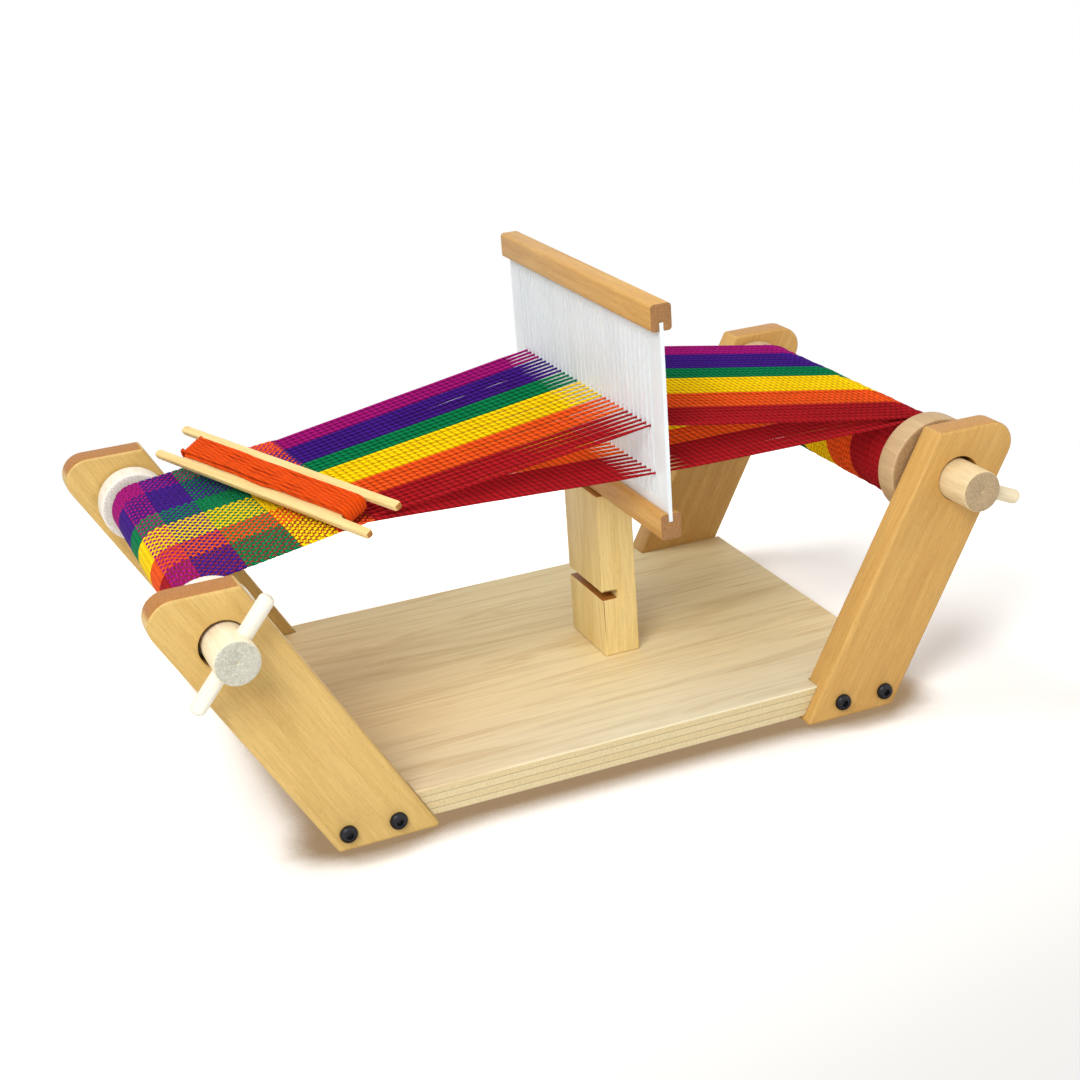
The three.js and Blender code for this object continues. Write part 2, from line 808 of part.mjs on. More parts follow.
// A tube along points that lie nearly in the XZ plane, closed at both ends.
function tubeAlong(points, radius, sides) {
  const positions = [];
  const index = [];
  const acrossAxis = new THREE.Vector3(0, 1, 0);
  points.forEach((point, i) => {
    const before = points[Math.max(0, i - 1)];
    const after = points[Math.min(points.length - 1, i + 1)];
    const along = after.clone().sub(before).normalize();
    const outward = along.clone().cross(acrossAxis).normalize();
    const sideways = outward.clone().cross(along).normalize();
    for (let j = 0; j < sides; j += 1) {
      const angle = (j * 2 * Math.PI) / sides;
      const spot = point.clone();
      spot.addScaledVector(sideways, radius * Math.cos(angle));
      spot.addScaledVector(outward, radius * Math.sin(angle));
      positions.push(spot.x, spot.y, spot.z);
    }
  });
  for (let i = 0; i + 1 < points.length; i += 1) {
    for (let j = 0; j < sides; j += 1) {
      const next = (j + 1) % sides;
      const a = i * sides + j;
      const b = i * sides + next;
      const c = (i + 1) * sides + next;
      const d = (i + 1) * sides + j;
      index.push(a, b, c, a, c, d);
    }
  }
  const last = (points.length - 1) * sides;
  for (let j = 1; j + 1 < sides; j += 1) {
    index.push(0, j + 1, j);
    index.push(last, last + j, last + j + 1);
  }
  const geometry = new THREE.BufferGeometry();
  geometry.setAttribute("position", new THREE.Float32BufferAttribute(positions, 3));
  geometry.setIndex(index);
  geometry.computeVertexNormals();
  return geometry;
}

// The least distance between stretches of a tube that are more than a few steps apart.
function leastGap(points, diameter) {
  const parts = 6;
  const nearSteps = 6;
  const fine = [];
  for (let i = 0; i + 1 < points.length; i += 1) {
    for (let k = 0; k < parts; k += 1) {
      fine.push({ at: points[i].clone().lerp(points[i + 1], k / parts), step: i + k / parts });
    }
  }
  let least = Infinity;
  for (let i = 0; i < fine.length; i += 1) {
    for (let j = i + 1; j < fine.length; j += 1) {
      if (fine[j].step - fine[i].step > nearSteps) {
        least = Math.min(least, fine[i].at.distanceTo(fine[j].at));
      }
    }
  }
  return least - diameter;
}

// The height of the cloth or of the raised threads above a place. The fell slants with Y.
function warpTopAt(x, y) {
  const fellHere = new THREE.Vector2(fell.x - fellSlant * y, fell.y);
  const line = [clothStart, fellHere, eyePoint];
  const part = x < fellHere.x ? 0 : 1;
  const share = (x - line[part].x) / (line[part + 1].x - line[part].x);
  const middle = line[part].y + share * (line[part + 1].y - line[part].y);
  return middle + clothThickness / 2;
}

// The shuttle lies across the fell and leans towards the weaver. It rests on whatever part of
// its winding or of the stick's lower edges first meets the cloth.
function makeShuttle() {
  const path = yarnPath();
  const gap = leastGap(path, yarnDiameter);
  console.log("least gap in the winding, mm:", gap.toFixed(2));
  const turn = new THREE.Matrix4().makeRotationZ(shuttleYaw - Math.PI / 2);
  turn.multiply(new THREE.Matrix4().makeRotationX(shuttleTilt));
  const rests = path.map((point) => ({ point, radius: yarnDiameter / 2 }));
  for (let i = 0; i <= restStations; i += 1) {
    const x = stickLength * (i / restStations - 0.5);
    for (const y of [-stickWidth / 2, stickWidth / 2]) {
      rests.push({ point: new THREE.Vector3(x, y, -stickThickness / 2), radius: 0 });
    }
  }
  let lift = -Infinity;
  for (const { point, radius } of rests) {
    const spot = point.clone().applyMatrix4(turn);
    const x = spot.x + shuttleX;
    const y = spot.y + shuttleY;
    if (y > clothNear && y < clothFar) {
      lift = Math.max(lift, warpTopAt(x, y) + restGap + radius - spot.z);
    }
  }
  const place = new THREE.Matrix4().makeTranslation(shuttleX, shuttleY, lift).multiply(turn);
  const stick = extrude(stickOutline(), -stickThickness / 2, stickThickness / 2, stickEase, 2);
  stick.applyMatrix4(place);
  addPiece("shuttle_stick", stick, finish(0xe3c690, 0.5));
  const yarn = tubeAlong(path, yarnDiameter / 2, 5);
  yarn.applyMatrix4(place);
  addPiece("shuttle_yarn", yarn, finish(0xe0762a, 0.9));
}

makeBoard();
for (const corner of corners) {
  makeLeg(corner);
  makeFastenings(corner);
}
makeBlock();
makeBeam("cloth_beam", -beamX, clothPegAngle);
makeBeam("warp_beam", beamX, warpPegAngle);
makePeg("cloth_beam_peg", -beamX, clothPegAngle);
makePeg("warp_beam_peg", beamX, warpPegAngle);
makeFlange("cloth_flange_right", -beamX, -1, clothFlangeRadius);
makeFlange("cloth_flange_left", -beamX, 1, clothFlangeRadius);
makeFlange("warp_flange_right", beamX, -1, warpFlangeRadius);
makeFlange("warp_flange_left", beamX, 1, warpFlangeRadius);
makeCloth();
let firstEnd = 0;
for (const band of bands) {
  makeWarpBand(band, firstEnd);
  firstEnd += band.ends;
}
makeBar("heddle_lower_bar", lowerBarFoot, true);
makeBar("heddle_upper_bar", reedHead, false);
makeReed();
makeShuttle();

// The origin is under the middle of the loom's whole width, from beam ends to bolt heads.
const boltEnd = legOuterFace + seatGap + boltHeadHeight;
model.position.y = (nearEnd - Math.max(farEnd, boltEnd)) / 2;

export default model;
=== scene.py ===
import math

import bpy
import numpy as np
from mathutils import Matrix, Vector
from mathutils.geometry import tessellate_polygon


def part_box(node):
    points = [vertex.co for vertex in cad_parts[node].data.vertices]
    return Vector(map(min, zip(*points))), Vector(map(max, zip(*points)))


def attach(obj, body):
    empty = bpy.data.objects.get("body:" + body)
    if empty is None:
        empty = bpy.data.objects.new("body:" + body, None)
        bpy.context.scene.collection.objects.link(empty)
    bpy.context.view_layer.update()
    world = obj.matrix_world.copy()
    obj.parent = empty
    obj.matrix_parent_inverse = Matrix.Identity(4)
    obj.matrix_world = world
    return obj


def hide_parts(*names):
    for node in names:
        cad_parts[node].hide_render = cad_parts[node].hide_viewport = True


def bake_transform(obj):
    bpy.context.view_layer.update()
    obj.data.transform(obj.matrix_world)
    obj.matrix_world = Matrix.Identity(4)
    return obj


# A small rigid heddle loom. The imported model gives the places. Lengths are in millimetres, with y
# counted from the middle of the loom's frame. Finishes, light and camera are in metres.
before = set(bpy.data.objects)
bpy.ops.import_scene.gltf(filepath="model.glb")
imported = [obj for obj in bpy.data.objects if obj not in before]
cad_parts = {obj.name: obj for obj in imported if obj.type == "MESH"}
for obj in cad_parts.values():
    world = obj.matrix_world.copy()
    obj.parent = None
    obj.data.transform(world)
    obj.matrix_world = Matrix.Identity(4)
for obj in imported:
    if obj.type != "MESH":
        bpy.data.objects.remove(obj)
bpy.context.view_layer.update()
print("frame loaded:", len(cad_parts), "nodes")

mm = 0.001
yMid = (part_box("front_right_leg")[0][1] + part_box("front_left_leg")[1][1]) / 2 / mm
chance = np.random.default_rng(11)


# a node's lowest and highest corner in millimetres, y from the loom's middle
def cornersOf(node):
    corners = np.array(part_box(node), float) / mm
    corners[:, 1] -= yMid
    return corners


def middleOf(node):
    return cornersOf(node).mean(0)


def unit(vector):
    return vector / np.linalg.norm(vector)


def addObject(name, data):
    made = bpy.data.objects.new(name, data)
    bpy.context.collection.objects.link(made)
    return made


# the camera at the photo's angle
cameraLook = {
    "lens": 62.28, "azimuth": -20.81, "elevation": 21.73, "roll": 4.43,
    "distance": 1.18996, "target": (0.00675, 0.011125, 0.10082),
}


def makeCamera(look):
    azimuth, elevation, roll = (math.radians(look[k]) for k in ("azimuth", "elevation", "roll"))
    flat = math.cos(elevation)
    back = np.array([math.sin(azimuth) * flat, -math.cos(azimuth) * flat, math.sin(elevation)])
    right = unit(np.cross(-back, (0, 0, 1)))
    up = np.cross(right, -back)
    data = bpy.data.cameras.new("camera")
    data.lens = look["lens"]
    data.sensor_width = 36
    data.clip_end = 50
    camera = addObject("camera", data)
    axes = np.eye(4)
    axes[:3, 0] = right * math.cos(roll) - up * math.sin(roll)
    axes[:3, 1] = right * math.sin(roll) + up * math.cos(roll)
    axes[:3, 2] = back
    axes[:3, 3] = np.array(look["target"]) + back * look["distance"]
    camera.matrix_world = Matrix(axes.tolist())
    bpy.context.scene.camera = camera


makeCamera(cameraLook)


# linear light from the 0 to 255 tones that a picture viewer shows
def tone(red, green, blue):
    shares = np.array([red, green, blue]) / 255
    curved = np.where(shares < 0.04045, shares / 12.92, ((shares + 0.055) / 1.055) ** 2.4)
    return tuple(float(c) for c in curved)


def scaled(colour, factor):
    return tuple(min(1.0, factor * c) for c in colour)


# small helpers for shader nodes
def addNode(tree, kind, inputs=None, **settings):
    made = tree.nodes.new("ShaderNode" + kind)
    for key, value in settings.items():
        setattr(made, key, value)
    for key, value in (inputs or {}).items():
        if isinstance(value, bpy.types.NodeSocket):
            tree.links.new(value, made.inputs[key])
        else:
            made.inputs[key].default_value = value
    return made


def addMath(tree, operation, first, second=0.0, third=0.0):
    inputs = {0: first, 1: second, 2: third}
    return addNode(tree, "Math", inputs, operation=operation).outputs[0]


def addDot(tree, first, second):
    inputs = {0: first, 1: tuple(second)}
    return addNode(tree, "VectorMath", inputs, operation="DOT_PRODUCT").outputs["Value"]


def splitVector(tree, vector):
    return addNode(tree, "SeparateXYZ", {0: vector}).outputs


# a value carried from one range to another and held at both ends
def addRange(tree, source, fromLow, fromHigh, toLow=0.0, toHigh=1.0, kind="LINEAR"):
    inputs = {0: source, 1: fromLow, 2: fromHigh, 3: toLow, 4: toHigh}
    return addNode(tree, "MapRange", inputs, interpolation_type=kind).outputs[0]


def mixColours(tree, share, first, second, blend="MIX"):
    made = addNode(tree, "Mix", data_type="RGBA", blend_type=blend)
    for key, value in ((0, share), (6, first), (7, second)):
        socket = made.inputs[key]
        if isinstance(value, bpy.types.NodeSocket):
            tree.links.new(value, socket)
        elif socket.type == "RGBA":
            socket.default_value = (*value, 1)
        else:
            socket.default_value = value
    return made.outputs[2]


def multiply(tree, first, second):
    return mixColours(tree, 1.0, first, second, "MULTIPLY")


def addRamp(tree, source, stops, interpolation="LINEAR"):
    made = addNode(tree, "ValToRGB", {0: source})
    made.color_ramp.interpolation = interpolation
    elements = made.color_ramp.elements
    while len(elements) < len(stops):
        elements.new(0.5)
    for element, (place, colour) in zip(elements, stops):
        element.position = place
        element.color = (*colour, 1)
    return made.outputs[0]


def newFinish(name, values):
    finish = bpy.data.materials.new(name)
    finish.use_nodes = True
    shader = finish.node_tree.nodes["Principled BSDF"]
    for key, value in values.items():
        shader.inputs[key].default_value = value
    return finish, finish.node_tree, shader


def addPlaces(tree):
    return addNode(tree, "TexCoord").outputs


def addBump(tree, shader, height, strength, depth):
    inputs = {"Height": height, "Strength": strength, "Distance": depth}
    tree.links.new(addNode(tree, "Bump", inputs).outputs[0], shader.inputs["Normal"])


# object coordinates turned so that x runs along the grain, and how far a face looks along it
def grainPlaces(tree, along):
    along = unit(np.array(along, float))
    side = unit(np.cross(along, (0, 1, 0) if abs(along[1]) < 0.9 else (1, 0, 0)))
    places = addPlaces(tree)
    parts = [addDot(tree, places["Object"], axis) for axis in (along, side, np.cross(along, side))]
    joined = addNode(tree, "CombineXYZ", dict(enumerate(parts)))
    return joined.outputs[0], addMath(tree, "ABSOLUTE", addDot(tree, places["Normal"], along))


def stretchedNoise(tree, places, scale, detail=3.0, distortion=0.0, roughness=0.55):
    spread = addNode(tree, "Mapping", {"Vector": places, "Scale": scale})
    return addNode(tree, "TexNoise", {
        "Vector": spread.outputs[0], "Scale": 1.0, "Detail": detail, "Roughness": roughness,
        "Distortion": distortion}).outputs["Fac"]


# grain scales count waves a metre, along the grain and across it
woodLook = {
    "specular": 0.35, "figureScale": (7, 95, 95), "figureStops": (0.32, 0.68),
    "fibreScale": (45, 900, 900), "fibreShade": (0.88, 1.06), "fleckScale": (260, 1700, 1700),
    "darkFleck": 0.6, "paleFleck": 1.12, "endScale": (500, 950, 950), "endShade": (0.72, 1.1),
    "endFacing": (0.7, 0.86), "bump": 0.12, "bumpDepth": 0.0004,
}


# Wood: a slow figure between two tones, fine fibres and short flecks that all run along the grain,
# and a mottled face where the surface looks along the grain.
def woodFinish(name, light, dark, end, along, roughness=0.5, figure=0.8, fleck=0.35):
    look = woodLook
    light, dark, end = tone(*light), tone(*dark), tone(*end)
    values = {"Roughness": roughness, "Specular IOR Level": look["specular"]}
    finish, tree, shader = newFinish(name, values)
    places, facing = grainPlaces(tree, along)
    slow = stretchedNoise(tree, places, look["figureScale"], 4, 0.8)
    fibres = stretchedNoise(tree, places, look["fibreScale"], 3)
    flecks = stretchedNoise(tree, places, look["fleckScale"], 2)
    speckle = stretchedNoise(tree, places, look["endScale"], 3, 0.2, 0.7)
    colour = addRamp(tree, slow, list(zip(look["figureStops"], (dark, light))))
    plain = tuple(0.5 * (a + b) for a, b in zip(light, dark))
    colour = mixColours(tree, figure, plain, colour)
    colour = multiply(tree, colour, addRange(tree, fibres, 0.3, 0.7, *look["fibreShade"]))
    spots = addRange(tree, flecks, 0.6, 0.74, 0.0, fleck)
    colour = mixColours(tree, spots, colour, scaled(dark, look["darkFleck"]))
    pale = addRange(tree, flecks, 0.4, 0.26, 0.0, fleck)
    colour = mixColours(tree, pale, colour, scaled(light, look["paleFleck"]))
    mottled = multiply(tree, end, addRange(tree, speckle, 0.35, 0.65, *look["endShade"]))
    atEnd = addRange(tree, facing, *look["endFacing"])
    tree.links.new(mixColours(tree, atEnd, colour, mottled), shader.inputs["Base Color"])
    addBump(tree, shader, fibres, look["bump"], look["bumpDepth"])
    return finish


# foot and thickness place the layers; the two bands in y and x bring in the painted shade that the
# cloth and warp cast on the board
plyLook = {
    "light": (231, 219, 184), "dark": (214, 194, 151), "paleStreak": 1.03, "darkFleck": 0.7,
    "edgeLight": (218, 200, 156), "edgeDark": (214, 194, 148), "foot": 0.004, "thickness": 0.018,
    "layers": 4, "wobble": 0.06, "glue": 0.07, "glueTone": 0.4, "bump": 0.08, "bumpDepth": 0.0003,
    "shadeBehind": (1.04, 0.97, 0.8), "shadeBehindY": (-0.11, -0.04), "left": (0.92, 0.8, 0.7),
    "shadeLeftX": (0.0, -0.16),
}


# Ply: birch wood on the broad faces, with painted shade of the cloth and warp that makes it warmer
# behind a line in y and darker to the left, and on the edges layers by height with thin glue lines.
def plyFinish(name, look):
    light, dark, edgeLight, edgeDark = (
        tone(*look[key]) for key in ("light", "dark", "edgeLight", "edgeDark"))
    finish, tree, shader = newFinish(name, {"Roughness": 0.5, "Specular IOR Level": 0.35})
    places = addPlaces(tree)
    grain, _ = grainPlaces(tree, (1, 0, 0))
    slow = stretchedNoise(tree, grain, (5, 60, 60), 5, 2.2)
    fibres = stretchedNoise(tree, grain, (22, 620, 620), 3)
    flecks = stretchedNoise(tree, grain, (130, 1500, 1500), 2)
    streaks = [(0.3, dark), (0.52, light), (0.72, scaled(light, look["paleStreak"]))]
    colour = addRamp(tree, slow, streaks)
    colour = multiply(tree, colour, addRange(tree, fibres, 0.3, 0.7, 0.93, 1.04))
    spots = addRange(tree, flecks, 0.62, 0.78, 0.0, 0.22)
    colour = mixColours(tree, spots, colour, scaled(dark, look["darkFleck"]))
    x, y, z = splitVector(tree, places["Object"])
    # painted shade of the cloth and warp: the tone turns warmer behind a line in y and darker to the
    # left
    for part, tint, band in ((y, "shadeBehind", "shadeBehindY"), (x, "left", "shadeLeftX")):
        share = addRange(tree, part, *look[band])
        colour = mixColours(tree, share, colour, multiply(tree, colour, look[tint]))
    top = look["foot"] + look["thickness"]
    height = addRange(tree, z, look["foot"], top, 0.0, look["layers"])
    wobble = stretchedNoise(tree, places["Object"], (30, 30, 30), 2)
    height = addMath(tree, "ADD", height, addMath(tree, "MULTIPLY", wobble, look["wobble"]))
    pair = addMath(tree, "FRACT", addMath(tree, "MULTIPLY", height, 0.5))
    layer = mixColours(tree, addMath(tree, "GREATER_THAN", pair, 0.5), edgeLight, edgeDark)
    grit = stretchedNoise(tree, places["Object"], (900, 900, 500), 2)
    layer = multiply(tree, layer, addRange(tree, grit, 0.35, 0.65, 0.92, 1.04))
    glue = addMath(tree, "LESS_THAN", addMath(tree, "FRACT", height), look["glue"])
    layer = mixColours(tree, glue, layer, scaled(edgeDark, look["glueTone"]))
    upright = addMath(tree, "ABSOLUTE", splitVector(tree, places["Normal"])[2])
    level = addMath(tree, "GREATER_THAN", upright, 0.6)
    tree.links.new(mixColours(tree, level, layer, colour), shader.inputs["Base Color"])
    addBump(tree, shader, fibres, look["bump"], look["bumpDepth"])
    return finish


# Yarn: its own map runs u in metres along the strand and v once round it. Two plies twist as a
# sine of u and v, with painted shade in the grooves between them, and fine fibres and slow patches
# vary the tone.
def yarnFinish(name, colour, twist=0.0042, shadow=0.5):
    finish, tree, shader = newFinish(name, {
        "Roughness": 0.85, "Specular IOR Level": 0.06, "Sheen Weight": 0.03,
        "Sheen Roughness": 0.5})
    own = addNode(tree, "UVMap", uv_map="strand")
    u, v, _ = splitVector(tree, own.outputs[0])
    turns = addMath(tree, "MULTIPLY", u, 2 * math.pi / twist)
    phase = addMath(tree, "MULTIPLY_ADD", v, 4 * math.pi, turns)
    ply = addMath(tree, "MULTIPLY_ADD", addMath(tree, "SINE", phase), 0.5, 0.5)
    places = addPlaces(tree)["Object"]
    fibres = stretchedNoise(tree, places, (1500, 1500, 1500), 3, 0, 0.7)
    patches = stretchedNoise(tree, places, (60, 60, 60), 2)
    shades = ((ply, 0.0, 0.6, shadow, 1.0), (fibres, 0.3, 0.7, 0.82, 1.16),
              (patches, 0.3, 0.7, 0.92, 1.06))
    for shade in shades:
        colour = multiply(tree, colour, addRange(tree, *shade))
    tree.links.new(colour, shader.inputs["Base Color"])
    addBump(tree, shader, addMath(tree, "MULTIPLY_ADD", fibres, 0.5, ply), 0.45, 0.0003)
    return finish


# Plastic: an even tone with a faint cloudy change, and a very fine uneven gloss.
def plasticFinish(name, colour):
    finish, tree, shader = newFinish(name, {
        "Roughness": 0.42, "Specular IOR Level": 0.45, "Subsurface Weight": 0.15,
        "Subsurface Radius": (0.003, 0.003, 0.003)})
    places = addPlaces(tree)["Object"]
    cloud = stretchedNoise(tree, places, (20, 60, 14), 3)
    grain = stretchedNoise(tree, places, (900, 1600, 60), 2)
    for source in (cloud, grain):
        colour = multiply(tree, colour, addRange(tree, source, 0.3, 0.7, 0.96, 1.02))
    tree.links.new(colour, shader.inputs["Base Color"])
    tree.links.new(addRange(tree, grain, 0.3, 0.7, 0.36, 0.5), shader.inputs["Roughness"])
    return finish


# Metal: one tone with fine wear in its colour and gloss.
def metalFinish(name, colour, roughness, metallic):
    finish, tree, shader = newFinish(name, {"Metallic": metallic})
    wear = stretchedNoise(tree, addPlaces(tree)["Object"], (400, 400, 400), 4, 0, 0.65)
    worn = multiply(tree, colour, addRange(tree, wear, 0.35, 0.7, 0.8, 1.25))
    tree.links.new(worn, shader.inputs["Base Color"])
    gloss = addRange(tree, wear, 0.3, 0.7, roughness - 0.08, roughness + 0.1)
    tree.links.new(gloss, shader.inputs["Roughness"])
    return finish


# a direction in the x and z plane by its angle above x
def leaning(degrees):
    return math.cos(math.radians(degrees)), 0, math.sin(math.radians(degrees))


legLean = 61
pegAngle = {"cloth": 50, "warp": -23}
shuttleGrain = math.radians(-70.5)
alongY = (0, 1, 0)
mapleEnd = (172, 112, 44)
disc = {"roughness": 0.6}
leg = {"figure": 0.6, "fleck": 0.45}
dowel = {"roughness": 0.55, "figure": 0.7, "fleck": 0.25}

# light tone, dark tone, end grain, direction of the grain, and what differs from plain wood
woodPlan = {
    "mapleFrontLeg": ((219, 185, 114), (197, 158, 87), mapleEnd, leaning(180 - legLean), leg),
    # the back legs' copy of the maple is darker and more orange as painted shade: they stand further
    # from the lamp and under the warp
    "mapleBackLeg": ((213, 171, 97), (192, 140, 69), (196, 142, 74), leaning(legLean), leg),
    "mapleBlock": ((241, 218, 154), (225, 194, 122), mapleEnd, (0, 0, 1), {}),
    "mapleBar": ((213, 169, 97), (187, 135, 66), (158, 112, 66), alongY, {}),
    # one pale birch in two copies: the cloth beam's dowel, peg and flanges are near white as painted
    # light, the warp beam's browner as painted shade
    "birchLitDowel": ((240, 228, 200), (226, 208, 170), (196, 192, 175), alongY, dowel),
    "birchShadedWarpDowel": ((234, 212, 168), (216, 188, 138), (181, 156, 119), alongY, dowel),
    "birchLitClothPeg": ((242, 238, 224), (232, 222, 200), (226, 216, 196),
                      leaning(pegAngle["cloth"]), {}),
    "birchShadedWarpPeg": ((240, 226, 192), (226, 204, 160), (220, 204, 172),
                     leaning(pegAngle["warp"]), {}),
    "paleLitDisc": ((242, 236, 224), (230, 220, 200), (222, 216, 205), alongY, disc),
    "mottledShadedDisc": ((204, 174, 132), (187, 153, 110), (171, 136, 95), alongY, disc),
    "mapleShuttle": ((240, 214, 150), (222, 186, 114), mapleEnd,
                     (math.cos(shuttleGrain), math.sin(shuttleGrain), 0), {}),
}
woods = {name: woodFinish(name, *tones, **extra) for name, (*tones, extra) in woodPlan.items()}
plyBoard = plyFinish("birchPly", plyLook)
reedPlastic = plasticFinish("whiteReed", tone(229, 235, 237))
boltBlack = metalFinish("blackBolt", tone(34, 34, 40), 0.38, 0.6)
zincPlate = metalFinish("zincNut", tone(190, 192, 196), 0.35, 1.0)
yellowZinc = metalFinish("yellowZincScrew", tone(206, 184, 120), 0.35, 1.0)
yarnTones = {
    "magenta": tone(164, 16, 116), "violet": tone(64, 22, 128), "green": tone(0, 122, 72),
    "yellow": tone(255, 212, 2), "orange": tone(238, 86, 24), "red": tone(166, 20, 28),
}
yarns = {name: yarnFinish(name + "Yarn", colour) for name, colour in yarnTones.items()}
shuttleYarn = yarnFinish("shuttleYarn", tone(220, 74, 6), 0.014, 0.74)
print("finishes made")


# A mesh from whole arrays: one index array for each number of corners, with maps alike. A closed
# mesh whose signed volume is negative is turned the right way out.
def makeMesh(name, points, faceSets, maps=None, flatSets=(), sharpDegrees=38):
    points = np.array(points, float).reshape(-1, 3)
    points[:, 1] += yMid
    points *= mm
    volume = 0.0
    for faces in faceSets:
        for k in range(1, faces.shape[1] - 1):
            wedge = np.cross(points[faces[:, k]], points[faces[:, k + 1]])
            volume += float(np.einsum("ij,ij->", points[faces[:, 0]], wedge))
    if volume < 0:
        faceSets = [faces[:, ::-1] for faces in faceSets]
        maps = maps and [part[:, ::-1] for part in maps]
    sizes = np.concatenate([np.full(len(faces), faces.shape[1]) for faces in faceSets])
    loops = np.concatenate([faces.ravel() for faces in faceSets])
    mesh = bpy.data.meshes.new(name)
    mesh.vertices.add(len(points))
    mesh.vertices.foreach_set("co", points.astype(np.float32).ravel())
    mesh.loops.add(len(loops))
    mesh.polygons.add(len(sizes))
    mesh.polygons.foreach_set("loop_start", (np.cumsum(sizes) - sizes).astype(np.int32))
    mesh.polygons.foreach_set("vertices", loops.astype(np.int32))
    smooth = [np.full(len(faces), k not in flatSets) for k, faces in enumerate(faceSets)]
    mesh.polygons.foreach_set("use_smooth", np.concatenate(smooth))
    if maps:
        layer = mesh.uv_layers.new(name="strand")
        joined = np.concatenate([part.reshape(-1, 2) for part in maps])
        layer.data.foreach_set("uv", joined.astype(np.float32).ravel())
    mesh.update(calc_edges=True)
    if sharpDegrees:
        mesh.set_sharp_from_angle(angle=math.radians(sharpDegrees))
    return addObject(name, mesh)


# quads of a grid of rows and columns, closed round either way if asked
def gridQuads(rows, columns, closeRows=False, closeColumns=False):
    i = np.arange(rows - (not closeRows))[:, None]
    j = np.arange(columns - (not closeColumns))[None]
    down, right = (i + 1) % rows, (j + 1) % columns
    corners = [i * columns + j, down * columns + j, down * columns + right, i * columns + right]
    return np.stack(corners, -1).reshape(-1, 4)


# fans of triangles that close both ends of rings whose two poles come last
def poleFans(rows, sides):
    j = np.arange(sides)
    following = (j + 1) % sides
    first, last = rows * sides, (rows - 1) * sides
    return np.concatenate([np.stack([np.full(sides, first), j, following], -1),
                           np.stack([np.full(sides, first + 1), last + following, last + j], -1)])


# the angles of a ring's points
def ringTurn(sides):
    return np.arange(sides) * 2 * np.pi / sides


def dress(piece, finish, body, nodes=()):
    piece.data.materials.append(finish)
    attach(piece, body)
    if nodes:
        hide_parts(*nodes)
    return piece


def finishNode(node, finish):
    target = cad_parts[node]
    if not target.material_slots:
        target.data.materials.append(finish)
    for each in target.material_slots:
        each.material = finish


# An outline with its corners rounded: each corner is swept by an arc of its own radius.
def roundedOutline(corners, radii, arcSteps=8):
    corners = np.array(corners, float)
    outline = []
    for k, (corner, radius) in enumerate(zip(corners, radii)):
        toBefore = unit(corners[k - 1] - corner)
        toAfter = unit(corners[(k + 1) % len(corners)] - corner)
        half = math.acos(float(toBefore @ toAfter)) / 2
        centre = corner + unit(toBefore + toAfter) * radius / math.sin(half)
        start = corner + toBefore * radius / math.tan(half) - centre
        crossing = toBefore[0] * toAfter[1] - toBefore[1] * toAfter[0]
        sweep = (math.pi - 2 * half) * (-1 if crossing > 0 else 1)
        turn = np.linspace(0, sweep, arcSteps + 1)
        arc = np.stack([start[0] * np.cos(turn) - start[1] * np.sin(turn),
                        start[0] * np.sin(turn) + start[1] * np.cos(turn)], -1)
        outline.append(centre + arc)
    outline = np.concatenate(outline)
    following = np.roll(outline, -1, 0)
    area = float((outline[:, 0] * following[:, 1] - following[:, 0] * outline[:, 1]).sum())
    return outline if area > 0 else outline[::-1]


# each point of a closed outline moved inwards by a distance, measured square to its two sides
def insetOutline(outline, distance):
    ahead = np.roll(outline, -1, 0) - outline
    ahead /= np.linalg.norm(ahead, axis=1, keepdims=True)
    normals = np.stack([-ahead[:, 1], ahead[:, 0]], -1)
    before = np.roll(normals, 1, 0)
    share = 1 + np.einsum("ij,ij->i", normals, before)
    return outline + distance * (normals + before) / share[:, None]


def circleOutline(x, z, radius, sides=48):
    turn = ringTurn(sides)
    return np.stack([x + radius * np.cos(turn), z + radius * np.sin(turn)], -1)


# A slab: an outline carried from one depth to another, its edges rolled over by a quarter circle,
# with holes whose rims are rolled over by a smaller one. Place turns (u, v, depth) into (x, y, z).
def slabPiece(name, outline, holes, low, high, edge, rim=0.4, steps=5, place=None):
    rings, faceSets, caps = [], [], []
    start = 0
    turn = np.linspace(0, np.pi / 2, steps + 1)
    for index, ring in enumerate([outline] + list(holes)):
        radius = edge if index == 0 else rim
        inward = 1 if index == 0 else -1
        levels = [(radius * (1 - np.sin(t)), low + radius * (1 - np.cos(t))) for t in turn]
        levels += [(inset, low + high - depth) for inset, depth in reversed(levels)]
        stack = [np.column_stack([insetOutline(ring, inward * inset), np.full(len(ring), depth)])
                 for inset, depth in levels]
        rings.append(np.concatenate(stack))
        walls = start + gridQuads(len(levels), len(ring), closeColumns=True)
        faceSets.append(walls[:, ::-1] if index == 0 else walls)
        first = start + np.arange(len(ring))
        caps.append((first, first + (len(levels) - 1) * len(ring)))
        start += len(levels) * len(ring)
    points = np.concatenate(rings)
    for end, wanted in ((0, -1), (1, 1)):
        index = np.concatenate([pair[end] for pair in caps])
        loops = [[(*points[k][:2], 0) for k in pair[end]] for pair in caps]
        triangles = index[np.array(tessellate_polygon(loops))]
        a, b, c = (points[triangles[:, k], :2] for k in range(3))
        (bx, by), (cx, cy) = (b - a).T, (c - a).T
        wrong = np.sign(bx * cy - by * cx) != wanted
        triangles[wrong] = triangles[wrong][:, ::-1]
        faceSets.append(triangles)
    walls, lids = np.concatenate(faceSets[:-2]), np.concatenate(faceSets[-2:])
    points = points[:, [0, 2, 1]] if place is None else place(points)
    return makeMesh(name, points, [walls, lids], flatSets=(1,))


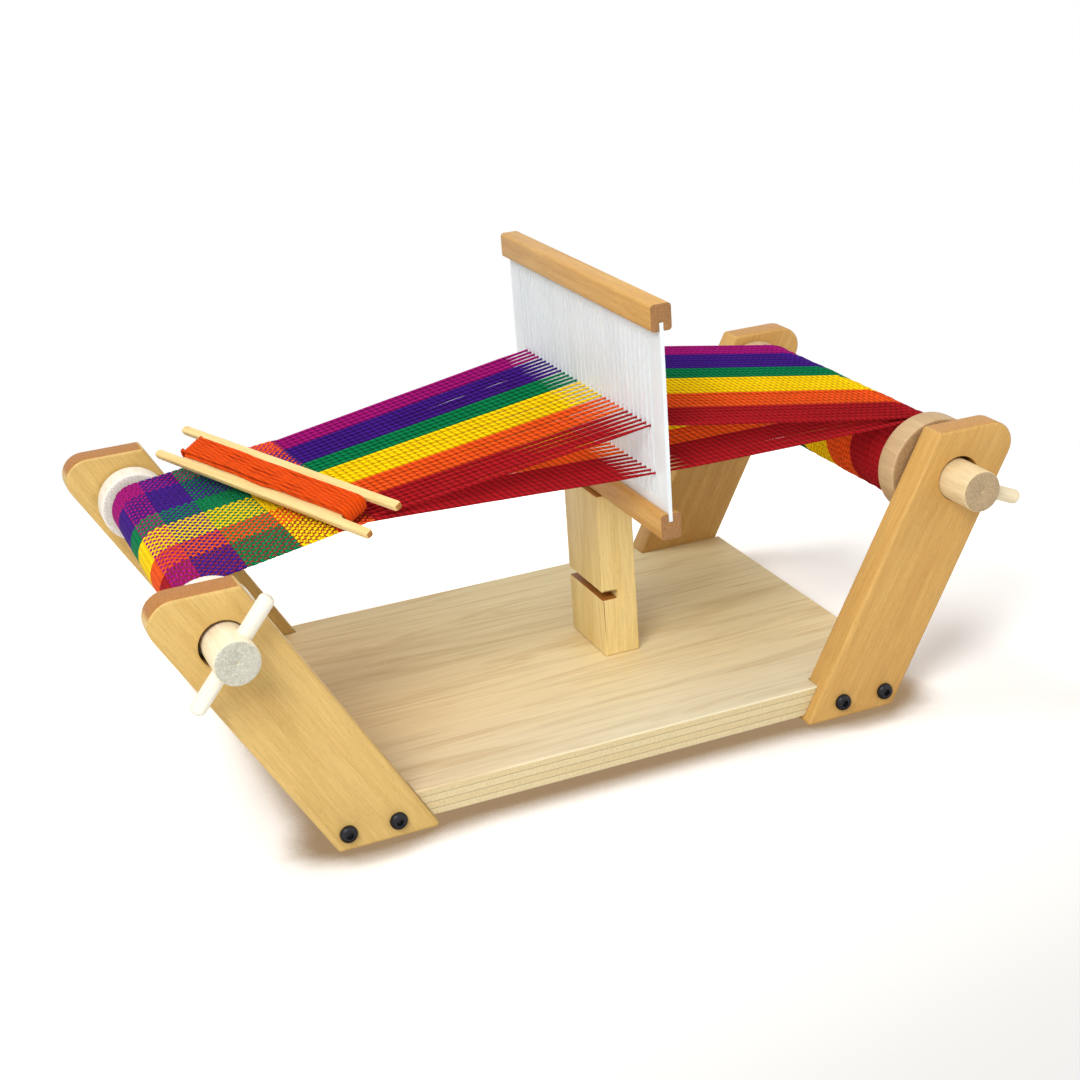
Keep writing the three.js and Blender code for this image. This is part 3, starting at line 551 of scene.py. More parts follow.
# A turned piece: a profile of (radius, distance) swept round an axis that starts at a point. A
# radius may be an array, one for each side. A profile that begins and ends on the axis closes in two
# poles, any other closes on itself.
def turnedPiece(name, profile, start, axis, sides=64, sharpDegrees=50):
    axis, start = unit(np.array(axis, float)), np.array(start, float)
    side = unit(np.cross(axis, (0, 0, 1) if abs(axis[2]) < 0.9 else (1, 0, 0)))
    third = np.cross(axis, side)
    turn = ringTurn(sides)
    around = np.cos(turn)[:, None] * side + np.sin(turn)[:, None] * third
    poles = np.all(profile[0][0] == 0)
    rows = profile[1:-1] if poles else profile
    radii = np.stack([np.broadcast_to(radius, sides) for radius, _ in rows])
    depths = np.array([depth for _, depth in rows])
    points = (radii[..., None] * around + depths[:, None, None] * axis + start).reshape(-1, 3)
    faceSets = [gridQuads(len(rows), sides, not poles, True)]
    if poles:
        ends = [start + depth * axis for _, depth in (profile[0], profile[-1])]
        points = np.concatenate([points, ends])
        faceSets.append(poleFans(len(rows), sides))
    return makeMesh(name, points, faceSets, sharpDegrees=sharpDegrees)


# a quarter circle of profile points from a turned piece's end face to its round side
def easedCorner(radius, distance, ease, towards, steps=4):
    turn = np.linspace(0, np.pi / 2, steps + 1)
    return [(radius - ease * (1 - math.sin(t)), distance + towards * ease * (1 - math.cos(t)))
            for t in turn]


# the corners of a node seen along y, counted round from its lowest one
def sideCorners(low, high):
    return [(low[0], low[2]), (high[0], low[2]), (high[0], high[2]), (low[0], high[2])]


# the wooden frame
cornerNames = ("front_right", "back_right", "front_left", "back_left")
legShape = {
    "lean": legLean, "innerToe": 118.9, "width": 53.2, "outerCorner": 14, "innerCorner": 2.5,
    "footCorner": 2, "edge": 2.0, "holeRadius": 14.0, "holeOutward": 0.9, "holeUp": 0.5,
    "boltRadius": 3.3,
}


def makeLegs(shape):
    lean = math.radians(shape["lean"])
    innerToe, top = shape["innerToe"], cornersOf("back_right_leg")[1][2]
    outerToe, over = innerToe + shape["width"] / math.sin(lean), top * (1 / math.tan(lean))
    corners = [(innerToe, 0), (outerToe, 0), (outerToe + over, top), (innerToe + over, top)]
    radii = [shape["footCorner"], shape["footCorner"], shape["outerCorner"], shape["innerCorner"]]
    outline = roundedOutline(corners, radii, 10)
    beam = middleOf("warp_beam")
    holeX, holeZ = beam[0] + shape["holeOutward"], beam[2] + shape["holeUp"]
    for corner in cornerNames:
        node = corner + "_leg"
        sideX = -1 if corner.startswith("front") else 1
        low, high = cornersOf(node)
        holes = [circleOutline(holeX, holeZ, shape["holeRadius"])]
        for k in (1, 2):
            bolt = middleOf("%s_bolt_%d" % (corner, k))
            holes.append(circleOutline(abs(bolt[0]), bolt[2], shape["boltRadius"], 24))
        leg = slabPiece(node.replace("_", "-"), outline, holes, low[1], high[1], shape["edge"],
                        place=lambda p, s=sideX: np.column_stack([s * p[:, 0], p[:, 2], p[:, 1]]))
        # the back legs take the maple copy darkened as painted shade
        wood = woods["mapleFrontLeg" if sideX < 0 else "mapleBackLeg"]
        dress(leg, wood, "frame", (node,))


makeLegs(legShape)
finishNode("base_board", plyBoard)

blockShape = {
    "slotHeight": 5.5, "slotDepth": 11, "slotFromTop": 68, "edge": 1.0, "corner": 1.2,
    "slotMouth": 0.5, "slotFloor": 1.6,
}


def makeBlock(shape):
    low, high = cornersOf("heddle_block")
    half, slotZ = shape["slotHeight"] / 2, high[2] - shape["slotFromTop"]
    floor, above, below = low[0] + shape["slotDepth"], slotZ + half, slotZ - half
    corners = sideCorners(low, high)
    corners += [(low[0], above), (floor, above), (floor, below), (low[0], below)]
    mouth, bottom = shape["slotMouth"], shape["slotFloor"]
    outline = roundedOutline(corners, [shape["corner"]] * 4 + [mouth, bottom, bottom, mouth], 5)
    block = slabPiece("heddleBlock", outline, [], low[1], high[1], shape["edge"])
    dress(block, woods["mapleBlock"], "frame", ("heddle_block",))


makeBlock(blockShape)
for k in (1, 2):
    finishNode("block_screw_%d" % k, yellowZinc)
    for corner in cornerNames:
        finishNode("%s_nut_%d" % (corner, k), zincPlate)
print("wooden frame made")

boltShape = {
    "headRadius": 5.25, "headHeight": 3.3, "rimHeight": 1.0, "rimEase": 0.25, "topShare": 0.56,
    "shankRadius": 3.0, "length": 40, "socket": 4.0, "socketDepth": 1.9,
}


# A button head bolt: rings of radius and height swept round, the innermost two bent to a hexagon.
def makeBolt(node, shape):
    low, high = cornersOf(node)
    outward = -1 if low[1] < 0 else 1
    head, top, shank = shape["headRadius"], shape["headHeight"], shape["shankRadius"]
    face = high[1] - top if outward > 0 else low[1] + top
    sides = 48
    turn = ringTurn(sides)
    hexagon = shape["socket"] / 2 / np.cos((turn + np.pi / 6) % (np.pi / 3) - np.pi / 6)
    rise, fall = top - shape["rimHeight"], 1 - shape["topShare"]
    dome = [(head * (1 - fall * b ** 1.6), shape["rimHeight"] + rise * math.sin(b * np.pi / 2))
            for b in np.linspace(0, 1, 7)]
    bottom = top - shape["socketDepth"]
    tip = -shape["length"]
    profile = [(0, tip), (0.8 * shank, tip), (shank, 0.8 + tip), (shank, 0.0),
               (head - shape["rimEase"], 0.0), (head, shape["rimEase"])]
    profile += dome + [(hexagon, top), (hexagon, bottom), (0, bottom)]
    x, _, z = middleOf(node)
    bolt = turnedPiece(node.replace("_", "-"), profile, (x, face, z), (0, outward, 0), sides, 40)
    dress(bolt, boltBlack, "frame", (node,))


for corner in cornerNames:
    for k in (1, 2):
        makeBolt("%s_bolt_%d" % (corner, k), boltShape)
print("bolts made")

# the far flanges are drawn smaller than the solids and the warp peg on one side of its hub, both as
# the photo shows them
beamShape = {
    "ease": 1.2, "centreMark": 1.5, "pegRadius": 4.5, "pegDome": 3.2, "pegAngle": pegAngle,
    "pegReach": {"cloth": (37, 37), "warp": (11, 37)}, "flangeEase": 2.0, "boreGap": 0.05,
    "flangeTrim": {"cloth_flange_left": 3.7, "warp_flange_left": 6},
}
# the cloth beam's copies carry painted light and the warp beam's painted shade
beamWoods = {
    "cloth": ("birchLitDowel", "birchLitClothPeg", "paleLitDisc"),
    "warp": ("birchShadedWarpDowel", "birchShadedWarpPeg", "mottledShadedDisc"),
}


def makeBeams(shape):
    for side, names in beamWoods.items():
        dowelWood, pegWood, flangeWood = (woods[name] for name in names)
        body = side + "_beam_body"
        low, high = cornersOf(side + "_beam")
        middle = middleOf(side + "_beam")
        radius = (high[2] - low[2]) / 2
        start = (middle[0], 0, middle[2])
        mark = shape["centreMark"]
        near = easedCorner(radius, low[1], shape["ease"], 1)
        far = easedCorner(radius, high[1], shape["ease"], -1)[::-1]
        profile = [(0, low[1] + mark), (0.35 * mark, low[1] + 0.6 * mark), (mark, low[1])] + near
        profile += [(radius, y) for y in np.linspace(low[1] + 8, high[1] - 8, 12)]
        beam = turnedPiece(side + "Beam", profile + far + [(0, high[1])], start, alongY, 72)
        dress(beam, dowelWood, body, (side + "_beam",))
        peg = middleOf(side + "_beam_peg")
        inner, outer = shape["pegReach"][side]
        tip = [(shape["pegRadius"] * math.sin(t), shape["pegDome"] * (1 - math.cos(t)))
               for t in np.linspace(0, np.pi / 2, 8)]
        profile = [(r, d - inner) for r, d in tip] + [(r, outer - d) for r, d in reversed(tip)]
        profile[-1] = (0, outer)
        peg = turnedPiece(side + "Peg", profile, peg, leaning(shape["pegAngle"][side]), 40)
        dress(peg, pegWood, body, (side + "_beam_peg",))
        for hand in ("right", "left"):
            node = "%s_flange_%s" % (side, hand)
            low, high = cornersOf(node)
            outer = (high[2] - low[2]) / 2 - shape["flangeTrim"].get(node, 0)
            bore = radius + shape["boreGap"]
            halfway = 0.5 * (bore + outer)
            profile = [(bore, low[1]), (halfway, low[1])]
            profile += easedCorner(outer, low[1], shape["flangeEase"], 1, 5)
            profile += easedCorner(outer, high[1], shape["flangeEase"], -1, 5)[::-1]
            profile += [(halfway, high[1]), (bore, high[1])]
            flange = turnedPiece(side + "Flange" + hand.title(), profile, start, alongY, 96)
            dress(flange, flangeWood, body, (node,))


makeBeams(beamShape)
print("beams made")

# the heddle
barShape = {
    "edge": 2.2, "endEase": 0.15, "groove": 2.8, "grooveDepth": 5.2, "grooveMouth": 0.3,
    "grooveFloor": 0.2,
}


def makeBars(shape):
    for node, above in (("heddle_lower_bar", True), ("heddle_upper_bar", False)):
        low, high = cornersOf(node)
        middle = (low[0] + high[0]) / 2
        right, left = middle + shape["groove"] / 2, middle - shape["groove"] / 2
        mouth = high[2] if above else low[2]
        floor = mouth - shape["grooveDepth"] * (1 if above else -1)
        corners = sideCorners(low, high)
        notch = [(right, mouth), (right, floor), (left, floor), (left, mouth)]
        at = 3 if above else 1
        corners[at:at] = notch if above else notch[::-1]
        mouthEase, floorEase = shape["grooveMouth"], shape["grooveFloor"]
        radii = [shape["edge"]] * 4
        radii[at:at] = [mouthEase, floorEase, floorEase, mouthEase]
        outline = roundedOutline(corners, radii, 5)
        name = "lowerBar" if above else "upperBar"
        bar = slabPiece(name, outline, [], low[1], high[1], shape["endEase"], steps=2)
        dress(bar, woods["mapleBar"], "heddle", (node,))


makeBars(barShape)
finishNode("heddle_reed", reedPlastic)
print("heddle made")


# the yarn
# Tubes round many centre lines at once: each ring is centre + side a cos t + up b sin t. The side
# is square to the line and to the given up, and u of the map is the length along the line.
def strandTubes(lines, up, a, b, sides=6):
    count, steps, _ = lines.shape
    along = np.gradient(lines, axis=1)
    along /= np.linalg.norm(along, axis=2, keepdims=True)
    up = np.broadcast_to(up, lines.shape)
    side = np.cross(along, up)
    side /= np.linalg.norm(side, axis=2, keepdims=True)
    up = np.cross(side, along)
    turn = ringTurn(sides)[:, None]
    a, b = (np.broadcast_to(size, (count, steps))[..., None, None] for size in (a, b))
    rings = side[:, :, None] * np.cos(turn) * a + up[:, :, None] * np.sin(turn) * b
    points = lines[:, :, None] + rings
    base = (np.arange(count) * steps * sides)[:, None, None]
    quads = (base + gridQuads(steps, sides, False, True)[None]).reshape(-1, 4)
    runs = np.cumsum(np.linalg.norm(np.diff(lines, axis=1), axis=2), 1)
    u = np.concatenate([np.zeros((count, 1)), runs], 1)[:, :, None] * mm
    j = np.arange(sides)
    corners = [(u[:, :-1], j), (u[:, 1:], j), (u[:, 1:], j + 1), (u[:, :-1], j + 1)]
    maps = [np.stack(np.broadcast_arrays(far, turned / sides), -1) for far, turned in corners]
    maps = np.stack(maps, -2).reshape(-1, 4, 2)
    first = base[:, :, 0] + j[::-1][None]
    last = base[:, :, 0] + (steps - 1) * sides + j[None]
    caps = np.concatenate([first, last])
    return points.reshape(-1, 3), [quads, caps], [maps, np.zeros((*caps.shape, 2))]


# several strand sets as one
def joinedStrands(sets):
    points, faces, maps = zip(*sets)
    starts = np.cumsum([0] + [len(part) for part in points])
    faces = [np.concatenate([pair[k] + start for pair, start in zip(faces, starts)])
             for k in (0, 1)]
    maps = [np.concatenate([pair[k] for pair in maps]) for k in (0, 1)]
    return np.concatenate(points), faces, maps


# Bands give the ends of each colour from the far side to the near one. Thread, wander, sway and
# swell shape a thread, the bend values are two lengths, past the fell and past the reed, and the
# fluff values how much and from where it thickens away from the reed.
warpPlan = {
    "bands": [("magenta", 8), ("violet", 13), ("green", 8), ("yellow", 12), ("orange", 9),
              ("red", 13)],
    "pitch": 3.175, "eyeHeight": 197.2, "slotHeight": 168.58, "line": 27.5, "steps": 41,
    "thread": 0.72, "wander": 0.13, "sway": 0.1, "swell": 0.06, "rootAt": 0.02, "rootRise": 0.25,
    "bendFrom": 26, "bendPast": 25, "fluff": 0.72, "reedClear": 7, "fluffRun": 16,
}
# Far and near are the cloth's edges in y at the fell and at the roll. Weft gives the run of each
# colour along the cloth from the fell, and a sink the depth of a band at the fell, where the flat
# cloth ends and past that.
clothPlan = {
    "fellX": -129.5, "fellZ": 170.9, "slant": 0.08, "fellFar": 86, "fellNear": -84, "rollFar": 97,
    "rollNear": -89, "line": 16.9, "layer": 1.9, "dip": 0.5, "pick": 2.3, "lift": 0.46,
    "warpWide": 1.16, "openWide": 1.48, "weftWide": 1.0, "edgeWeft": 1.3, "thick": 0.5,
    "weft": [("orange", 21), ("yellow", 21), ("green", 29), ("violet", 25), ("magenta", 15)],
    "bandWarp": {"red": 0.72, "magenta": 0.88}, "sinkRun": 60,
    "bandSink": {"red": (0.3, 0.6, 0.85), "magenta": (0.35, 0.0, 0.0)},
    "edgeFrom": 0.3, "edgeRun": 0.06, "turnOut": 1.004, "sheetHalf": 0.12, "sheetEdge": 0.004,
}
ends = sum(count for _, count in warpPlan["bands"])
endY = ((ends - 1) / 2 - np.arange(ends)) * warpPlan["pitch"]
endV = (np.arange(ends) + 0.5) / ends
bandOf = np.concatenate([[k] * count for k, (_, count) in enumerate(warpPlan["bands"])])
warpAxis = middleOf("warp_beam")[[0, 2]]
clothAxis = middleOf("cloth_beam")[[0, 2]]


# where a straight run from a point meets the top of a circle
def tangentPoint(centre, radius, point):
    d = np.array(point, float) - centre
    angle = math.atan2(d[1], d[0]) + math.acos(radius / np.linalg.norm(d)) * (-1 if d[0] < 0 else 1)
    return centre + radius * np.array([math.cos(angle), math.sin(angle)]), angle


fell = np.array([clothPlan["fellX"], clothPlan["fellZ"]])
clothTop, clothAngle = tangentPoint(clothAxis, clothPlan["line"], fell)
spanLength = float(np.linalg.norm(fell - clothTop))


# the cloth's y at the fell or the roll, for v from 0 at the far edge to 1 at the near one
def clothY(place, v):
    far, near = clothPlan[place + "Far"], clothPlan[place + "Near"]
    return far + (near - far) * v


# Cloth surface: s from 0 at the fell to 1 at the roll's top. The straight part is ruled between two
# slanted lines and dips by a sine of s.
def spanPoint(s, v):
    yFell, yRoll = clothY("fell", v), clothY("roll", v)
    x = (clothPlan["fellX"] - clothPlan["slant"] * yFell) * (1 - s) + clothTop[0] * s
    dip = clothPlan["dip"] * np.sin(np.pi * s) * np.cos(7 * v + 2 * s)
    z = clothPlan["fellZ"] * (1 - s) + clothTop[1] * s + dip
    return np.stack([x, yFell * (1 - s) + yRoll * s, z], -1)


def spanUp(s, v):
    slope = (clothPlan["fellZ"] - clothTop[1]) / (clothPlan["fellX"] - clothTop[0])
    up = np.array([-slope, 0, 1]) / math.hypot(slope, 1)
    return np.broadcast_to(up, (*np.broadcast_shapes(np.shape(s), np.shape(v)), 3))


# Rolled part: s runs once round the beam, and the radius drops by one layer on the way.
def rollPoint(s, v):
    angle = clothAngle + s * 2 * np.pi
    radius = clothPlan["line"] - clothPlan["layer"] * s
    x, z = clothAxis[0] + radius * np.cos(angle), clothAxis[1] + radius * np.sin(angle)
    return np.stack(np.broadcast_arrays(x, clothY("roll", v), z), -1)


def rollUp(s, v):
    angle = clothAngle + s * 2 * np.pi
    return np.stack(np.broadcast_arrays(np.cos(angle), 0.0 * v, np.sin(angle)), -1)


# Plain weave on a surface: an end at v lifts by a cosine of the pick count, and a pick lifts by a
# cosine of the end count, with opposite signs at each crossing. Picks of one colour are one long
# strand that turns at the edges. Past the last weft colour the warp lies open, flat and close. Some
# bands sink by an amount along the cloth, so that the weft covers them.
def weave(point, up, length, startAt, firstPick):
    plan, lift = clothPlan, clothPlan["lift"]
    picks = int(round(length / plan["pick"]))
    strands = {name: [] for name, _ in warpPlan["bands"]}
    s = np.linspace(0, 1, picks * 4 + 1)
    limits = np.cumsum([size for _, size in plan["weft"]])
    woven = np.clip((limits[-1] - startAt - s * length) / plan["pick"], 0, 1)
    wave = woven * np.cos(np.pi * (s * picks - 0.5 + firstPick))
    for k, (name, _) in enumerate(warpPlan["bands"]):
        chosen = np.flatnonzero(bandOf == k)
        sign = np.where(chosen % 2 == 0, 1, -1)[:, None]
        v = endV[chosen][:, None]
        normal = up(s[None], v)
        lines = point(s[None], v) + normal * (lift * wave * sign)[..., None]
        depths = plan["bandSink"].get(name, (0, 0, 0))
        sinkAt = (0, spanLength, spanLength + plan["sinkRun"])
        sink = np.interp(startAt + s * length, sinkAt, depths)
        lines = lines - normal * (sink * woven)[..., None]
        wide = plan["warpWide"] * plan["bandWarp"].get(name, 1)
        wide = wide * woven + plan["openWide"] * (1 - woven)
        strands[name].append(strandTubes(lines, normal, wide[None], plan["thick"]))
    places = startAt + (np.arange(picks) + 0.5) * length / picks
    places = places[places < limits[-1]]
    colours = np.searchsorted(limits, places)
    v = (np.arange(ends * 4 + 1) / 4) / ends
    over = np.cos(np.pi * (v * ends - 0.5))
    for k in np.unique(colours):
        rows, across, along = [], [], []
        for pick in np.flatnonzero(colours == k):
            order = slice(None) if pick % 2 == 0 else slice(None, None, -1)
            sign = -1 if (pick + firstPick) % 2 == 0 else 1
            vRow = 0.5 + (v[order] - 0.5) * plan["turnOut"]
            sRow = np.full(len(vRow), (pick + 0.5) / picks)
            rows.append(point(sRow, vRow) + up(sRow, vRow) * (lift * over[order] * sign)[:, None])
            across.append(vRow)
            along.append(sRow)
        normal = up(np.concatenate(along), np.full(sum(map(len, along)), 0.5))[None]
        out = np.abs(np.concatenate(across) - 0.5) - plan["edgeFrom"]
        nearEdge = np.clip(out / plan["edgeRun"], 0, 1)
        wide = plan["weftWide"] + (plan["edgeWeft"] - plan["weftWide"]) * nearEdge
        tubes = strandTubes(np.concatenate(rows)[None], normal, wide[None], plan["thick"])
        strands[plan["weft"][k][0]].append(tubes)
    return strands


rollLength = 2 * math.pi * (clothPlan["line"] - clothPlan["layer"] / 2)
spanPicks = int(round(spanLength / clothPlan["pick"]))
clothPieces = {"span": [], "roll": []}
for part, strands in (("span", weave(spanPoint, spanUp, spanLength, 0, 0)),
                      ("roll", weave(rollPoint, rollUp, rollLength, spanLength, spanPicks))):
    for name, sets in strands.items():
        if not sets:
            continue
        points, faces, maps = joinedStrands(sets)
        meshName = "cloth%s%s" % (part.title(), name.title())
        piece = makeMesh(meshName, points, faces, maps, sharpDegrees=0)
        body = "frame" if part == "span" else "cloth_beam_body"
        dress(piece, yarns[name], body, ())
        clothPieces[part].append(piece)
print("cloth woven")


# The cloth's body as a thin sheet inside the strands, dark as painted shade where it shows between
# them: the same surface thickened both ways.
def clothShadeSheet(name, point, up, body, node):
    rows, columns, edge = 49, 25, clothPlan["sheetEdge"]
    s = np.linspace(0, 1, rows)[:, None]
    v = np.linspace(edge, 1 - edge, columns)[None]
    middle, normal = point(s, v), clothPlan["sheetHalf"] * up(s, v)
    points = np.stack([middle + normal, middle - normal]).reshape(-1, 3)
    size = rows * columns
    quads = gridQuads(rows, columns)
    index = np.arange(size).reshape(rows, columns)
    rim = np.concatenate([index[0], index[1:, -1], index[-1, -2::-1], index[-2:0:-1, 0]])
    following = np.roll(rim, -1)
    walls = np.stack([rim, following, following + size, rim + size], -1)
    faces = [np.concatenate([quads, quads[:, ::-1] + size, walls])]
    piece = makeMesh(name, points, faces, sharpDegrees=60)
    dress(piece, clothGround, body, (node,))


# The sheet's finish, painted shade between the strands: bands by y in the warp's colours, darkened,
# with a fine noise.
def gapShadeFinish(darken):
    finish, tree, shader = newFinish("clothGround", {"Roughness": 0.95})
    places = addPlaces(tree)["Object"]
    far, near = ((clothY("roll", v) + yMid) * mm for v in (0, 1))
    share = addRange(tree, splitVector(tree, places)[1], far, near)
    stops = [(int(np.argmax(bandOf == k)) / ends, scaled(yarnTones[name], darken))
             for k, (name, _) in enumerate(warpPlan["bands"])]
    noise = stretchedNoise(tree, places, (900, 900, 900), 2)
    colour = multiply(tree, addRamp(tree, share, stops, "CONSTANT"),
                      addRange(tree, noise, 0.3, 0.7, 0.7, 1.1))
    tree.links.new(colour, shader.inputs["Base Color"])
    return finish


clothGround = gapShadeFinish(0.45)
clothShadeSheet("clothSpanSheet", spanPoint, spanUp, "frame", "cloth_span")
clothShadeSheet("clothRollSheet", rollPoint, rollUp, "cloth_beam_body", "cloth_roll")
print("cloth sheets made")


# Warp threads, in two halves: from the fell to an eye or a slot of the reed, and on to the beam.
# Raised ends pass the eyes and lowered ends the slots. A thread is thinnest at the reed and fluffs
# out by a share away from it.
def makeThreads(plan):
    reedX = middleOf("heddle_reed")[0]
    roots = spanPoint(np.full(ends, plan["rootAt"]), endV)
    t = np.linspace(0, 1, plan["steps"])
    waves = np.arange(1, 7)
    for k, (name, _) in enumerate(plan["bands"]):
        chosen = np.flatnonzero(bandOf == k)
        for raised in (True, False):
            own = chosen[chosen % 2 == raised]
            passing = (reedX, plan["eyeHeight"] if raised else plan["slotHeight"])
            onBeam, _ = tangentPoint(warpAxis, plan["line"], passing)
            start = roots[own] + np.array([0, 0, plan["rootRise"] * (1 if raised else -1)])
            through, landing = (np.column_stack([0 * own + x, endY[own], 0 * own + z])
                                for x, z in (passing, onBeam))
            for side, a, b in (("Front", start, through), ("Back", through, landing)):
                lines = a[:, None] + (b - a)[:, None] * t[:, None]
                loose = chance.normal(0, 1, (len(own), len(waves))) / waves ** 2
                hump = loose @ np.sin(np.pi * waves[:, None] * t)
                lines[..., 1] += plan["wander"] * hump
                lines[..., 2] += plan["sway"] * np.roll(hump, 1, 0)
                lumps = chance.normal(0, 1, 14)
                swell = 1 + plan["swell"] * np.interp(t, np.linspace(0, 1, len(lumps)), lumps)
                away = (1 - t if side == "Front" else t) * np.linalg.norm(b[0] - a[0])
                fluff = np.clip((away - plan["reedClear"]) / plan["fluffRun"], 0, 1)
                radius = plan["thread"] * (swell + plan["fluff"] * fluff)[None]
                points, faces, maps = strandTubes(lines, (0, 0, 1.0), radius, radius, 8)
                level = "Raised" if raised else "Lowered"
                meshName = "warp%s%s%s" % (name.title(), level, side)
                threads = makeMesh(meshName, points, faces, maps, sharpDegrees=0)
                threads.data.materials.append(yarns[name])
                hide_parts("warp_" + name)
                if side == "Front":
                    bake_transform(threads)
                else:
                    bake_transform(threads)


makeThreads(warpPlan)
print("warp stretched")

# Wound warp: a closed profile swept once round the beam. Its outer side is a row of half round
# ridges, two for each end, whose radius drops from the step on and wanders by two sines.
rollShape = {
    "outer": 26.7, "ridge": 0.75, "core": 12.9, "drop": 0.8, "turns": 96, "perEnd": 2, "steps": 6,
    "uneven": 0.25, "slowWander": 0.18, "fastWander": 0.1, "bandGap": 0.1,
}


def makeWarpRolls(shape):
    pitch = warpPlan["pitch"]
    turn = np.linspace(0, 1, shape["turns"], endpoint=False)[:, None]
    angle = math.pi / 2 - turn * 2 * np.pi
    around = 2 * np.pi * shape["outer"] * mm
    core = np.full(turn.shape, shape["core"])
    for k, (name, count) in enumerate(warpPlan["bands"]):
        own = endY[bandOf == k]
        far = own[0] + pitch / 2 - shape["bandGap"]
        near = own[-1] - pitch / 2 + shape["bandGap"]
        ridges = count * shape["perEnd"]
        y = np.linspace(far, near, ridges * shape["steps"] + 1)
        inRidge = (np.linspace(0, ridges, len(y)) % 1) * 2 - 1
        bump = np.sqrt(np.maximum(0, 1 - inRidge ** 2))
        each = np.repeat(chance.normal(0, shape["uneven"], ridges), shape["steps"])
        each = np.concatenate([each, each[-1:]])
        outer = shape["outer"] + shape["ridge"] * bump + each - shape["drop"] * turn
        outer = outer + shape["slowWander"] * np.sin(2 * np.pi * (turn * 2 + y * 0.31))
        outer = outer + shape["fastWander"] * np.sin(11 * turn * 2 * np.pi + y)
        radius = np.concatenate([core, outer, core], 1)
        across = np.concatenate([[far], y, [near]])
        x = warpAxis[0] + radius * np.cos(angle)
        z = warpAxis[1] + radius * np.sin(angle)
        points = np.stack([x, np.broadcast_to(across, x.shape), z], -1).reshape(-1, 3)
        quads = gridQuads(len(turn), len(across), True, True)
        u = (quads // len(across)) / len(turn) * around
        u[np.abs(u - u[:, :1]) > 0.05] += around
        maps = [np.stack([u, (across[quads % len(across)] - near) / pitch], -1)]
        roll = makeMesh("warpRoll" + name.title(), points, [quads], maps, sharpDegrees=70)
        dress(roll, yarns[name], "warp_beam_body", ("warp_roll_" + name,))


makeWarpRolls(rollShape)
print("warp wound")

# the shuttle
shuttlePlan = {
    "length": 222, "width": 28.5, "thickness": 4, "edge": 0.9, "fork": 17.6, "forkDepth": 30.5,
    "forkCorner": 4, "tip": 5.2, "prongCorner": 2.2, "yaw": 19.45, "tilt": 25, "yarn": 1.1,
    "yarnFlat": 0.94, "bed": 0.98, "pitch": 2.0, "layerShare": 0.86, "loops": 8, "layers": 2,
    "straightSteps": 26, "bendSteps": 9, "slowLoose": 0.45, "fastLoose": 0.3, "bulge": 0.25,
}


# from the shuttle's own axes to the loom's: a tilt about its length, then a turn on the cloth
def shuttlePlace(points):
    yaw, tilt = math.radians(shuttlePlan["yaw"] - 90), math.radians(shuttlePlan["tilt"])
    x, y, z = points.T
    y, z = (y * math.cos(tilt) - z * math.sin(tilt), y * math.sin(tilt) + z * math.cos(tilt))
    x, y = x * math.cos(yaw) - y * math.sin(yaw), x * math.sin(yaw) + y * math.cos(yaw)
    return np.stack([x, y, z], -1) + middleOf("shuttle_stick")


def makeStick(plan):
    half, side, fork = plan["length"] / 2, plan["width"] / 2, plan["fork"] / 2
    throat, mouth = half - plan["forkDepth"], side - plan["tip"]
    tip, throatCorner = plan["prongCorner"], plan["forkCorner"]
    right = [(half, -side, tip), (half, -mouth, tip), (throat, -fork, throatCorner),
             (throat, fork, throatCorner), (half, mouth, tip), (half, side, tip)]
    corners = right + [(-x, -y, r) for x, y, r in right]
    outline = roundedOutline([(x, y) for x, y, _ in corners], [r for _, _, r in corners], 6)
    deep = plan["thickness"] / 2
    stick = slabPiece("shuttleStick", outline, [], -deep, deep, plan["edge"], steps=4,
                      place=shuttlePlace)
    dress(stick, woods["mapleShuttle"], "shuttle", ("shuttle_stick",))


# The winding: one strand in long loops round the stick. It moves across by a pitch a loop, climbs
# a layer in half a loop and comes back, and each layer lies a little narrower than the last. Its
# straight runs wander sideways by two sines and bulge by another.
def makeWinding(plan):
    inner = plan["thickness"] / 2 + plan["yarn"] * plan["bed"]
    reach = plan["length"] / 2 - plan["forkDepth"]
    path, ups = [], []
    straight, bend = plan["straightSteps"], plan["bendSteps"]
    loopSteps = 2 * (straight + bend)
    for layer in range(plan["layers"]):
        loops = plan["loops"] - layer
        widest = loops - 0.5
        steps = np.arange(int(loops * loopSteps))
        turn = steps / loopSteps
        rise = np.clip((turn - widest) * 2, 0, 1)
        height = inner + plan["pitch"] * plan["layerShare"] * (layer + rise)
        across = (np.minimum(turn, widest) - widest / 2) * plan["pitch"] * (-1) ** layer
        step = steps % loopSteps
        facing = np.where(step >= loopSteps / 2, -1, 1)
        part = step % (loopSteps // 2)
        run = np.minimum(part / straight, 1)
        curl = np.pi * np.maximum(0, part - straight) / bend
        x = facing * (reach * (2 * run - 1) + height * np.sin(curl))
        z = facing * height * np.cos(curl)
        inRun = np.sin(np.pi * run)
        loose = plan["slowLoose"] * np.sin(5.1 * turn + 7 * run)
        loose = loose + plan["fastLoose"] * np.sin(13.7 * turn + 17 * run + layer)
        bulge = facing * plan["bulge"] * inRun * np.sin(31 * turn)
        path.append(np.stack([x, across + loose * inRun, z + bulge], -1))
        ups.append(np.stack([facing * np.sin(curl), 0 * x, facing * np.cos(curl)], -1))
    path, ups = np.concatenate(path)[None], np.concatenate(ups)[None]
    points, faces, maps = strandTubes(path, ups, plan["yarn"], plan["yarn"] * plan["yarnFlat"], 8)
    winding = makeMesh("shuttleWinding", shuttlePlace(points), faces, maps, sharpDegrees=0)
    dress(winding, shuttleYarn, "shuttle", ("shuttle_yarn",))


makeStick(shuttlePlan)
makeWinding(shuttlePlan)
print("shuttle made")

